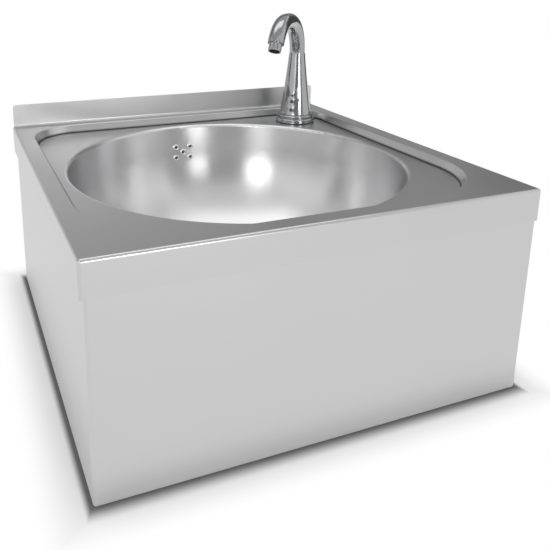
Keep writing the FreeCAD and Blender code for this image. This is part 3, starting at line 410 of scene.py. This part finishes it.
def mouldedFinish(name, colour, rough, grainSize=1400.0, grainDepth=0.00004, gloss=0.5):
    material, net = startMaterial(name)
    where = net.place()
    cloud = net.noise(where, plastic["cloudScale"])
    cells = net.add("ShaderNodeTexVoronoi", {}, {"Vector": where, "Scale": grainSize})
    tone = net.blend(cloud, shade(colour, plastic["darkest"]), shade(colour, plastic["brightest"]))
    rough = rough + cells.swing(plastic["cellRough"]) + cloud.swing(plastic["cloudRough"])
    net.finish(tone, rough, cells, grainDepth, Specular_IOR_Level=gloss)
    return material


rubber = {"dustScale": 60.0, "dustDetail": 5.0, "dustHardness": 0.65, "dustRange": (0.45, 0.8),
          "dustShare": 1.5, "dustMore": 0.012, "dustRough": 0.2, "grainScale": 2200.0, "grainDetail": 2.0,
          "depth": 0.00004}


def rubberFinish(name, colour, rough=0.62):
    material, net = startMaterial(name)
    where = net.place()
    dust = net.noise(where, rubber["dustScale"], rubber["dustDetail"], rubber["dustHardness"])
    dusty = shade(colour, rubber["dustShare"], rubber["dustMore"])
    tone = net.blend(net.ease(dust, *rubber["dustRange"]), shade(colour), dusty)
    grain = net.noise(where, rubber["grainScale"], rubber["grainDetail"])
    net.finish(tone, rough + dust.swing(rubber["dustRough"]), grain, rubber["depth"])
    return material


window = {"filmScale": 300.0, "filmDetail": 2.0, "filmShare": 1.6, "filmMore": 0.004, "rough": 0.05,
          "filmRough": 0.05, "depth": 0.000002, "coatRough": 0.03}


def windowFinish(name, colour):
    material, net = startMaterial(name)
    film = net.noise(net.place(), window["filmScale"], window["filmDetail"])
    tone = net.blend(film, shade(colour), shade(colour, window["filmShare"], window["filmMore"]))
    net.finish(tone, window["rough"] + film * window["filmRough"], film, window["depth"],
               Coat_Weight=1.0, Coat_Roughness=window["coatRough"])
    return material


cell = {"baseEnd": 1.2 * mm, "topEnd": 2.6 * mm, "bare": (0.72, 0.72, 0.7, 1),
        "sleeve": (0.07, 0.07, 0.075, 1), "worn": (0.13, 0.13, 0.14, 1), "scuffStretch": (400, 400, 60),
        "scuffDetail": 4.0, "rough": 0.3, "scuffRough": 0.15, "depth": 0.00001}


def cellFinish(name, base, top):                # a battery's plain sleeve between its bright ends
    material, net = startMaterial(name)
    where = net.place()
    height = net.axis(where, 2)
    sleeve = (height > base + cell["baseEnd"]) * (height < top - cell["topEnd"])
    scuff = net.noise(net.stretched(where, cell["scuffStretch"]), 1.0, cell["scuffDetail"])
    tone = net.blend(sleeve, cell["bare"], net.blend(scuff, cell["sleeve"], cell["worn"]))
    rough = cell["rough"] + scuff.swing(cell["scuffRough"])
    net.finish(tone, rough, scuff, cell["depth"], Metallic=1 - sleeve)
    return material


board = {"trackScale": 260.0, "trackWidth": 0.06, "resist": (0.015, 0.13, 0.05, 1),
         "track": (0.05, 0.26, 0.11, 1), "rough": 0.32, "trackRough": 0.1, "depth": 0.00003, "coat": 0.6}


def boardFinish(name):
    material, net = startMaterial(name)
    cells = net.add("ShaderNodeTexVoronoi", {"feature": "DISTANCE_TO_EDGE"},
                    {"Vector": net.place(), "Scale": board["trackScale"]})
    tracks = cells < board["trackWidth"]
    tone = net.blend(tracks, board["resist"], board["track"])
    net.finish(tone, board["rough"] + tracks * board["trackRough"], tracks, board["depth"],
               Coat_Weight=board["coat"])
    return material


finishes = {                                    # one for each slot in the record
    "sheet_top": steelFinish("deckSteel", (0.575, 0.575, 0.58), 0.32, wave=0.04, grit=0.0000008),
    "sheet_bowl": satinFinish("bowlSteel", (0.69, 0.69, 0.695), 0.31, stretch=0.8),
    "sheet_casing": steelFinish("casingSteel", (0.585, 0.585, 0.59), 0.33, wave=0.04, grit=0.0000008),
    "sheet_rail": steelFinish("railSteel", (0.5, 0.5, 0.505), 0.42, grain=1.2, wave=0.12),
    "sheet_strainer": satinFinish("strainerSteel", (0.66, 0.66, 0.67), 0.18),
    "polished_steel": platedFinish("polishedSteel", (0.72, 0.72, 0.73), 0.14),
    "zinc_steel": platedFinish("zincSteel", (0.6, 0.62, 0.64), 0.34, cast=0.4),
    "tap_chrome": platedFinish("tapChrome", (0.38, 0.385, 0.39), 0.18),
    "nickel_brass": platedFinish("nickelBrass", (0.64, 0.61, 0.54), 0.35, cast=0.8),
    "brass": platedFinish("turnedBrass", (0.78, 0.58, 0.26), 0.33, cast=0.3),
    "rubber_black": rubberFinish("blackRubber", (0.022, 0.022, 0.023)),
    "rubber_grey": rubberFinish("greyRubber", (0.2, 0.2, 0.2)),
    "cable_black": rubberFinish("cableSheath", (0.02, 0.02, 0.021), 0.48),
    "plastic_white": mouldedFinish("whitePlastic", (0.8, 0.8, 0.78), 0.42),
    "plastic_grey": mouldedFinish("greyPlastic", (0.2, 0.205, 0.21), 0.48),
    "plastic_black": mouldedFinish("blackPlastic", (0.03, 0.03, 0.033), 0.45),
    "hose_grey": mouldedFinish("hosePlastic", (0.6, 0.6, 0.59), 0.4, grainDepth=0.00002),
    "hose_braid": platedFinish("wireBraid", (0.66, 0.66, 0.67), 0.33, cast=0.3),
    "lever_red": mouldedFinish("leverDip", (0.5, 0.03, 0.025), 0.35, grainSize=900.0, gloss=0.6),
    "lens_dark": windowFinish("darkWindow", (0.006, 0.006, 0.008)),
    "lens_red": windowFinish("redWindow", (0.05, 0.006, 0.006)),
    "battery_sleeve": cellFinish("batterySleeve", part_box("batteries")[0][2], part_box("batteries")[1][2]),
    "board_green": boardFinish("boardResist")}
slotOf = {part["node"]: part["material_slot"] for part in frame["record"]["subparts"]}
for name, node in cadNodes.items():
    node.data.materials.clear()
    node.data.materials.append(finishes[slotOf[name]])
print("finishes:", len(finishes))


# ways of making
def smoothed(data, crease):
    data.polygons.foreach_set("use_smooth", [True] * len(data.polygons))
    data.set_sharp_from_angle(angle=math.radians(crease))


def solid(name, fill, *shape, crease=35.0):     # fill puts the shape into an empty bmesh
    mesh = bmesh.new()
    fill(mesh, *shape)
    bmesh.ops.remove_doubles(mesh, verts=mesh.verts, dist=tiny)
    bmesh.ops.recalc_face_normals(mesh, faces=mesh.faces)
    data = bpy.data.meshes.new(name)
    mesh.to_mesh(data)
    mesh.free()
    smoothed(data, crease)
    return linked(name, data)


def settled(thing, crease):                     # what the modifiers make becomes plain mesh
    view = bpy.context.evaluated_depsgraph_get()
    data = bpy.data.meshes.new_from_object(thing.evaluated_get(view))
    name = thing.name
    spent(thing)
    smoothed(data, crease)
    return linked(name, data)


def spent(*things):
    for thing in things:
        bpy.data.objects.remove(thing)


def turned(mesh, outline, around, place=Matrix()):  # a closed outline of radius and height, turned about Z
    rings = []
    for radius, height in outline:
        angles = [fullTurn * number / around for number in range(around if radius > tiny else 1)]
        ring = [Vector((radius * math.cos(angle), radius * math.sin(angle), height)) for angle in angles]
        rings.append([mesh.verts.new(place @ spot) for spot in ring])
    for first, second in zip(rings, rings[1:] + rings[:1]):
        count = max(len(first), len(second))
        for number in range(count if count > 1 else 0):
            after = (number + 1) % count
            if len(first) == 1:
                mesh.faces.new((first[0], second[after], second[number]))
            elif len(second) == 1:
                mesh.faces.new((first[number], first[after], second[0]))
            else:
                mesh.faces.new((first[number], first[after], second[after], second[number]))


def block(mesh, low, high):
    corners = bmesh.ops.create_cube(mesh, size=1.0)["verts"]
    for vert in corners:
        vert.co = Vector([a + (b - a) * (part + 0.5) for a, b, part in zip(low, high, vert.co)])
    return corners


def roundedBlock(mesh, low, high, bevel, segments):
    corners = block(mesh, low, high)
    edges = [edge for edge in mesh.edges if all(vert in corners for vert in edge.verts)]
    bmesh.ops.bevel(mesh, geom=edges, offset=bevel, segments=segments, affect="EDGES", profile=0.5)


def cutBy(thing, tool, crease):
    boolean = thing.modifiers.new("cut", "BOOLEAN")
    boolean.operation, boolean.solver, boolean.object = "DIFFERENCE", "EXACT", tool
    result = settled(thing, crease)
    spent(tool)
    return result


def points(name, places):
    data = bpy.data.meshes.new(name)
    data.from_pydata([Vector(place) for place in places], [], [])
    return data


def route(name, places, perPart=24):            # the smooth line of a hose, as vertices and edges
    curve = bpy.data.curves.new(name, "CURVE")
    curve.dimensions, curve.resolution_u = "3D", perPart
    spline = curve.splines.new("NURBS")
    spline.points.add(len(places) - 1)
    for point, place in zip(spline.points, places):
        point.co = (*place, 1)
    spline.order_u, spline.use_endpoint_u = 3, True
    thing = linked(name, curve)
    data = bpy.data.meshes.new_from_object(thing.evaluated_get(bpy.context.evaluated_depsgraph_get()))
    spent(thing)
    return data


def grown(name, start, controls, build, crease=35.0):  # a geometry tree on a start mesh, then plain mesh
    tree = bpy.data.node_groups.new(name, "GeometryNodeTree")
    tree.interface.new_socket("Start", in_out="INPUT", socket_type="NodeSocketGeometry")
    tree.interface.new_socket("Result", in_out="OUTPUT", socket_type="NodeSocketGeometry")
    kinds = {int: "Int", float: "Float", bpy.types.Material: "Material", bpy.types.Object: "Object"}
    keys = {}
    for label, value in controls.items():
        kind = "NodeSocket" + kinds[type(value)]
        keys[label] = tree.interface.new_socket(label, in_out="INPUT", socket_type=kind).identifier
    net = Net(tree)
    entry = tree.nodes.new("NodeGroupInput")
    wires = {socket.name: Wire(net, socket) for socket in entry.outputs if socket.name}
    shape = net.add("GeometryNodeRealizeInstances", {}, {"Geometry": build(net, wires)})
    shape = net.add("GeometryNodeSetMaterial", {}, {"Geometry": shape, "Material": wires["Finish"]})
    net.add("NodeGroupOutput", {}, {0: shape})
    thing = linked(name, start)
    modifier = thing.modifiers.new(name, "NODES")
    modifier.node_group = tree
    for label, value in controls.items():
        modifier[keys[label]] = value
    return settled(thing, crease)


def standIn(thing, node, body="sink"):          # the finished piece takes over from its CAD node
    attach(thing, body)
    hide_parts(node)


def extra(thing, body="sink"):            # trim that no CAD node has
    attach(thing, body)


# overflow hose: corrugated, with plain cuffs under its clamps
overflowHose = {"radius": 9.7 * mm, "ribDepth": 1.5 * mm, "ribPitch": 4.2 * mm, "perRib": 8, "crest": 0.6,
                "cuff": 13 * mm, "around": 40, "crease": 50.0,
                "places": [(0, 0.17539, 0.135), (0, 0.17539, 0.112), (0, 0.17539, 0.0722), (0, 0.1402, 0.037),
                           (0, 0.09, 0.037), (0, 0.033, 0.037)]}


def ribbedHose(net, wires):
    line = net.line(wires["Start"], "LENGTH", Length=wires["Rib Pitch"] / overflowHose["perRib"])
    along = net.add("GeometryNodeSplineParameter", out=1)
    left = net.add("GeometryNodeSplineLength") - along
    ribbed = (along > wires["Cuff"]) * (left > wires["Cuff"])
    wave = 0.5 - 0.5 * (along * fullTurn / wires["Rib Pitch"]).sum("COSINE")
    size = wires["Radius"] - wires["Rib Depth"] * ribbed * (1 - wave ** overflowHose["crest"])
    return net.swept(line, net.circle(wires["Around"], 1.0), Scale=size)


controls = {"Radius": overflowHose["radius"], "Rib Depth": overflowHose["ribDepth"],
            "Rib Pitch": overflowHose["ribPitch"], "Cuff": overflowHose["cuff"],
            "Around": overflowHose["around"], "Finish": finishes["hose_grey"]}
start = route("overflowLine", overflowHose["places"])
standIn(grown("ribbedOverflowHose", start, controls, ribbedHose, overflowHose["crease"]), "overflow_hose")
print("overflow hose")


# tap hose: a plain core under woven wire
tapHose = {"core": 4.1 * mm, "coreAround": 24, "radius": 4.45 * mm, "wire": 0.42 * mm, "wireAround": 5,
           "weave": 0.12 * mm, "strands": 14, "turns": 3.2, "steps": 150, "crease": 60.0,
           "places": [(0.14672, 0.14672, 0.155), (0.14672, 0.14672, 0.121), (0.14572, 0.15872, 0.094),
                      (0.13472, 0.172, 0.088), (0.112, 0.172, 0.088)]}


def wovenHose(net, wires):
    line = net.line(wires["Start"], "COUNT", Count=wires["Steps"])
    layers = [net.swept(line, net.circle(tapHose["coreAround"], wires["Core"]))]
    side = net.add("GeometryNodeInputNormal")
    over = net.vector("CROSS_PRODUCT", net.add("GeometryNodeInputTangent"), side)
    share = net.add("GeometryNodeSplineParameter")
    for way in (1, -1):                         # one set of strands each way round
        copies = net.add("GeometryNodeDuplicateElements", {"domain": "SPLINE"},
                         {"Geometry": line, "Amount": wires["Strands"]})
        number = Wire(net, copies.socket.node.outputs[1])  # which copy a strand is
        twist = share * wires["Turns"] * fullTurn
        angle = twist * way + number * fullTurn / wires["Strands"]
        reach = wires["Radius"] + wires["Weave"] * way * (twist * wires["Strands"]).sum("COSINE")
        shift = net.vector("ADD", net.scaled(side, angle.sum("COSINE") * reach),
                           net.scaled(over, angle.sum("SINE") * reach))
        helix = net.add("GeometryNodeSetPosition", {}, {"Geometry": copies, "Offset": shift})
        layers.append(net.swept(helix, net.circle(tapHose["wireAround"], wires["Wire"])))
    return net.together(layers)


controls = {"Core": tapHose["core"], "Radius": tapHose["radius"], "Wire": tapHose["wire"],
            "Weave": tapHose["weave"], "Strands": tapHose["strands"], "Turns": tapHose["turns"],
            "Steps": tapHose["steps"], "Finish": finishes["hose_braid"]}
start = route("tapLine", tapHose["places"])
standIn(grown("wovenTapHose", start, controls, wovenHose, tapHose["crease"]), "tap_hose")
print("tap hose")


# screws: pan heads with a cross recess and thread ridges, set on points
panScrew = {"radius": 3.6 * mm, "height": 2.2 * mm, "shank": 2.0 * mm, "thread": 0.3 * mm,
            "pitch": 0.7 * mm, "neck": 0.1 * mm, "crossWidth": 1.0 * mm, "crossReach": 2.1 * mm,
            "crossDepth": 1.2 * mm, "cutAbove": 1.5, "around": 28, "crease": 40.0,
            "head": [(0.95, 0), (1, 0.12), (1, 0.35), (0.93, 0.62), (0.76, 0.85), (0.45, 0.97), (0, 1)]}
screwSets = {                                   # points under the heads, way out, shank, head size, body
    "box_screws": ([(-0.186, 0.1958, 0.064), (-0.186, 0.1958, 0.156)], -1.0, 4.1 * mm, 1.0, "sink"),
    "bracket_screws": ([(0.084, 0.1973, 0.1754), (0.084, 0.1973, 0.1844)], -1.0, 2.6 * mm, 1.0, "sink"),
    "handle_screw": ([(0.031, 0.190, 0.088)], 1.0, 0.0, 1.25, "stop_valve_turning")}


def crossScrew(name, reach, size):
    sizes = panScrew
    wide, high, crest = sizes["radius"] * size, sizes["height"], sizes["shank"]
    outline = [(0, -reach)]
    for number in range(int(reach / sizes["pitch"])):
        height = -reach + number * sizes["pitch"]
        outline += [(crest - sizes["thread"], height), (crest, height + sizes["pitch"] / 2)]
    if reach:
        outline.append((crest - sizes["thread"], -sizes["neck"]))
    outline += [(wide * across, high * up) for across, up in sizes["head"]]
    head = solid(name, turned, outline, sizes["around"])
    arm, width = sizes["crossReach"] * size, sizes["crossWidth"] * size / 2
    deep = high - sizes["crossDepth"]
    for x, y in ((arm, width), (width, arm)):   # one at a time: a tool that crosses itself cuts nothing
        tool = solid(name + "Cut", block, (-x, -y, deep), (x, y, high * sizes["cutAbove"]))
        head = cutBy(head, tool, sizes["crease"])
    return head


def onPoints(net, wires):
    turn = net.facing("Z", net.joined(0.0, wires["Facing"], 0.0))
    return net.onEach(wires["Start"], net.piece(wires["Piece"]), Rotation=turn)


for node, (places, facing, reach, size, body) in screwSets.items():
    single = crossScrew(node + "Single", reach, size)
    controls = {"Piece": single, "Facing": facing, "Finish": finishes[slotOf[node]]}
    start = points(node + "Points", places)
    standIn(grown(node + "Crossed", start, controls, onPoints, panScrew["crease"]), node, body)
    spent(single)
print("screws")


# hose clamps: a ridged band, its housing and a slotted worm
hoseClamp = {"inner": 9.85 * mm, "outer": 10.55 * mm, "width": 6.0 * mm, "edgeIn": 0.1 * mm,
             "edgeDown": 0.3 * mm, "around": 64, "teeth": 52, "toothWide": 0.5 * mm, "toothDeep": 0.3 * mm,
             "toothLong": 3.6 * mm, "housingLow": (-4.0 * mm, 10.35 * mm, -2.7 * mm),
             "housingHigh": (2.4 * mm, 14.6 * mm, 2.7 * mm), "housingBevel": 0.8 * mm,
             "wormRadius": 2.0 * mm, "wormStart": 2.2 * mm, "wormEnd": 4.0 * mm, "wormEdge": 0.3 * mm,
             "wormSides": 6, "socketRadius": 0.9 * mm, "socketDepth": 0.5 * mm,
             "places": [((0, 0.17539, 0.127), 0), ((0, 0.041, 0.037), -math.pi / 2)]}  # each with its tilt


def clampBody(mesh):
    sizes = hoseClamp
    half, inner, outer = sizes["width"] / 2, sizes["inner"], sizes["outer"]
    slope = outer - sizes["edgeIn"]
    turned(mesh, [(inner, -half), (slope, -half), (outer, -half + sizes["edgeDown"]),
                  (outer, half - sizes["edgeDown"]), (slope, half), (inner, half)], sizes["around"])
    roundedBlock(mesh, sizes["housingLow"], sizes["housingHigh"], sizes["housingBevel"], 3)
    middle = (sizes["housingLow"][1] + sizes["housingHigh"][1]) / 2
    along = Matrix.Translation((0, middle, 0)) @ Matrix.Rotation(math.radians(90), 4, "Y")
    worm, begin, end = sizes["wormRadius"], sizes["wormStart"], sizes["wormEnd"]
    socket, deep = sizes["socketRadius"], end - sizes["socketDepth"]
    turned(mesh, [(0, begin), (worm, begin), (worm, end - sizes["wormEdge"]),
                  (worm - sizes["wormEdge"], end), (socket, end), (socket, deep), (0, deep)],
           sizes["wormSides"], along)


def ridgedClamps(net, wires):
    ring = net.add("GeometryNodeMeshCircle", {}, {"Vertices": wires["Teeth"], "Radius": wires["Radius"]})
    size = net.joined(wires["Tooth Wide"], hoseClamp["toothDeep"], wires["Tooth Long"])
    tooth = net.add("GeometryNodeMeshCube", {}, {"Size": size})
    teeth = net.onEach(ring, tooth, Rotation=net.facing("Y", net.spot()))
    whole = net.together([teeth, wires["Start"]])
    return net.together([net.moved(whole, Translation=place, Rotation=(tilt, 0, 0))
                         for place, tilt in hoseClamp["places"]])


single = solid("clampSingle", clampBody)
controls = {"Teeth": hoseClamp["teeth"], "Radius": hoseClamp["outer"],
            "Tooth Wide": hoseClamp["toothWide"], "Tooth Long": hoseClamp["toothLong"],
            "Finish": finishes[slotOf["hose_clamps"]]}
standIn(grown("wormClamps", single.data, controls, ridgedClamps), "hose_clamps")
spent(single)
print("hose clamps")


# aerator: a cup of small six-sided cells, set back in the collar
aerator = {"radius": 5.85 * mm, "inner": 5.25 * mm, "low": 2.05 * mm, "floor": 7.1 * mm, "high": 8.65 * mm,
           "around": 40, "pitch": 1.2 * mm, "cell": 0.64 * mm, "wall": 0.11 * mm, "depth": 1.3 * mm,
           "sides": 6, "crease": 30.0, "columns": 11, "rows": 12, "rowStep": 0.866,
           "tap": (0.14672, 0.14672, 0.185), "turn": 225.0, "bend": (0.07603, 0, 0.130), "lean": 62.0,
           "reach": 25.03 * mm}
lean = math.radians(aerator["lean"])
# from the tap's foot up to its bend, and on to the spout's end
mouth = (Matrix.Translation(aerator["tap"]) @ Matrix.Rotation(math.radians(aerator["turn"]), 4, "Z") @
         Matrix.Translation(aerator["bend"]) @ Matrix.Rotation(math.pi / 2 + lean, 4, "Y") @
         Matrix.Translation((0, 0, aerator["reach"])))
radius, inner, low, floor, high = (aerator[key] for key in ("radius", "inner", "low", "floor", "high"))
cupLine = [(0, low), (radius, low), (radius, high), (inner, high), (inner, floor), (0, floor)]
wide, bore, deep = aerator["cell"], aerator["cell"] - aerator["wall"], aerator["depth"]
cellLine = [(bore, 0), (wide, 0), (wide, deep), (bore, deep)]


def honeycomb(net, wires):                      # a square grid whose rows are set half a pitch on in turn
    columns, rows, pitch = aerator["columns"], aerator["rows"], wires["Pitch"]
    middle = (rows - 1) / 2
    grid = net.add("GeometryNodeMeshGrid", {}, {"Size X": float(columns - 1), "Size Y": float(rows - 1),
                                                "Vertices X": columns, "Vertices Y": rows})
    spot = net.spot()
    row = (net.axis(spot, 1) + middle).sum("ROUND")
    x = net.axis(spot, 0) * pitch + row.sum("MODULO", 2.0) * pitch / 2 - pitch / 4
    y = (row - middle) * pitch * aerator["rowStep"]
    place = net.joined(x, y, wires["Floor"])
    grid = net.add("GeometryNodeSetPosition", {}, {"Geometry": grid, "Position": place})
    spot = net.spot()
    away = (net.axis(spot, 0) ** 2 + net.axis(spot, 1) ** 2) ** 0.5
    grid = net.add("GeometryNodeDeleteGeometry", {"domain": "POINT"},
                   {"Geometry": grid, "Selection": away > wires["Room"]})
    whole = net.together([net.onEach(grid, net.piece(wires["Cell"])), wires["Start"]])
    return net.moved(whole, Translation=tuple(mouth.to_translation()), Rotation=tuple(mouth.to_euler()))


cupSolid = solid("aeratorCup", turned, cupLine, aerator["around"])
cellSolid = solid("aeratorCell", turned, cellLine, aerator["sides"], crease=aerator["crease"])
controls = {"Cell": cellSolid, "Pitch": aerator["pitch"], "Floor": aerator["floor"],
            "Room": aerator["inner"] - aerator["cell"],
            "Finish": mouldedFinish("screenPlastic", (0.02, 0.02, 0.021), 0.5)}
standIn(grown("aeratorScreen", cupSolid.data, controls, honeycomb), "aerator_insert")
spent(cupSolid, cellSolid)
print("aerator")


# overflow holes: each with a bright domed rim; the dome catches real light, and its steel, set lighter than
# the bowl's, is a painted highlight
overflowRim = {"hole": 1.6 * mm, "neck": 2.7 * mm, "edge": 4.1 * mm, "proud": 0.75 * mm, "sleeve": 1.1 * mm,
               "lap": 0.1 * mm, "dome": [(1, 0.2), (0.92, 0.62), (0.8, 0.92), (0.68, 1), (0.55, 0.9)],
               "leadIn": (1.1, 0.5), "around": 28, "level": 152 * mm, "pitchX": 18.6 * mm,
               "pitchZ": 13.4 * mm, "wall": 166.43 * mm, "wallLean": 4.0}
wallSlope = math.tan(math.radians(overflowRim["wallLean"]))


def rimPlaces():
    sizes = overflowRim
    across, up = sizes["pitchX"] / 2, sizes["pitchZ"] / 2
    for x, z in ((0, 0), (-across, -up), (-across, up), (across, -up), (across, up)):
        radius = sizes["wall"] + z * wallSlope
        yield x, math.sqrt(radius * radius - x * x), sizes["level"] + z


def rimRings(net, wires):
    spot = net.spot()
    inwards = net.joined(0 - net.axis(spot, 0), 0 - net.axis(spot, 1), wires["Lean"])
    return net.onEach(wires["Start"], net.piece(wires["Ring"]), Rotation=net.facing("Z", inwards))


hole, neck, edge, proud = (overflowRim[key] for key in ("hole", "neck", "edge", "proud"))
sleeve, lap = overflowRim["sleeve"], overflowRim["lap"]
ringLine = [(hole, -sleeve), (neck, -sleeve), (neck, -lap), (edge, -lap)]
ringLine += [(edge * across, proud * up) for across, up in overflowRim["dome"]]
ringLine += [(hole * overflowRim["leadIn"][0], proud * overflowRim["leadIn"][1]), (hole, 0)]
single = solid("rimRing", turned, ringLine, overflowRim["around"])
controls = {"Ring": single, "Lean": overflowRim["wall"] * wallSlope,
            # steel lighter than the bowl's: a painted highlight on the rims
            "Finish": satinFinish("rimSteel", (0.86, 0.86, 0.86), 0.33)}
extra(grown("overflowRims", points("rimPoints", list(rimPlaces())), controls, rimRings))
spent(single)
print("overflow rims")


# moulded grips: bars round the cable glands, and ribs under the battery cover
glandGrip = {"radius": 4.05 * mm, "bars": 14, "bar": (0.7 * mm, 0.6 * mm, 2.8 * mm), "bevel": 0.18 * mm,
             "places": [(-145.7 * mm, 180 * mm, 141 * mm), (-145.7 * mm, 180 * mm, 131 * mm)]}
coverRib = {"count": 7, "spacing": 3.0 * mm, "bar": (1.0 * mm, 17 * mm, 0.9 * mm), "bevel": 0.3 * mm,
            "middle": (-176 * mm, 159.9 * mm, 67.4 * mm)}


def bar(name, size, bevel):
    low, high = ([part * way / 2 for part in size] for way in (-1, 1))
    return solid(name, roundedBlock, low, high, bevel, 2)


def barsRound(net, wires):
    ring = net.add("GeometryNodeMeshCircle", {}, {"Vertices": wires["Bars"], "Radius": wires["Radius"]})
    grips = net.onEach(ring, net.piece(wires["Bar"]), Rotation=net.facing("Y", net.spot()))
    return net.onEach(wires["Start"], net.moved(grips, Rotation=(0, math.pi / 2, 0)))


def barsAcross(net, wires):
    step = net.joined(wires["Spacing"], 0.0, 0.0)
    row = net.add("GeometryNodeMeshLine", {"mode": "OFFSET"}, {"Count": wires["Count"], "Offset": step})
    half = wires["Spacing"] * (1 - wires["Count"]) / 2
    ribs = net.moved(net.onEach(row, net.piece(wires["Bar"])), Translation=net.joined(half, 0.0, 0.0))
    return net.onEach(wires["Start"], ribs)


single = bar("gripBar", glandGrip["bar"], glandGrip["bevel"])
slot = slotOf["control_box"]
controls = {"Bars": glandGrip["bars"], "Radius": glandGrip["radius"], "Bar": single,
            "Finish": finishes[slot]}
extra(grown("glandGrips", points("glandPlaces", glandGrip["places"]), controls, barsRound))
spent(single)
single = bar("ribBar", coverRib["bar"], coverRib["bevel"])
slot = slotOf["battery_cover"]
controls = {"Count": coverRib["count"], "Spacing": coverRib["spacing"], "Bar": single,
            "Finish": finishes[slot]}
ribs = grown("coverRibs", points("coverPlace", [coverRib["middle"]]), controls, barsAcross)
extra(ribs, "battery_cover")
spent(single)
print("grips")
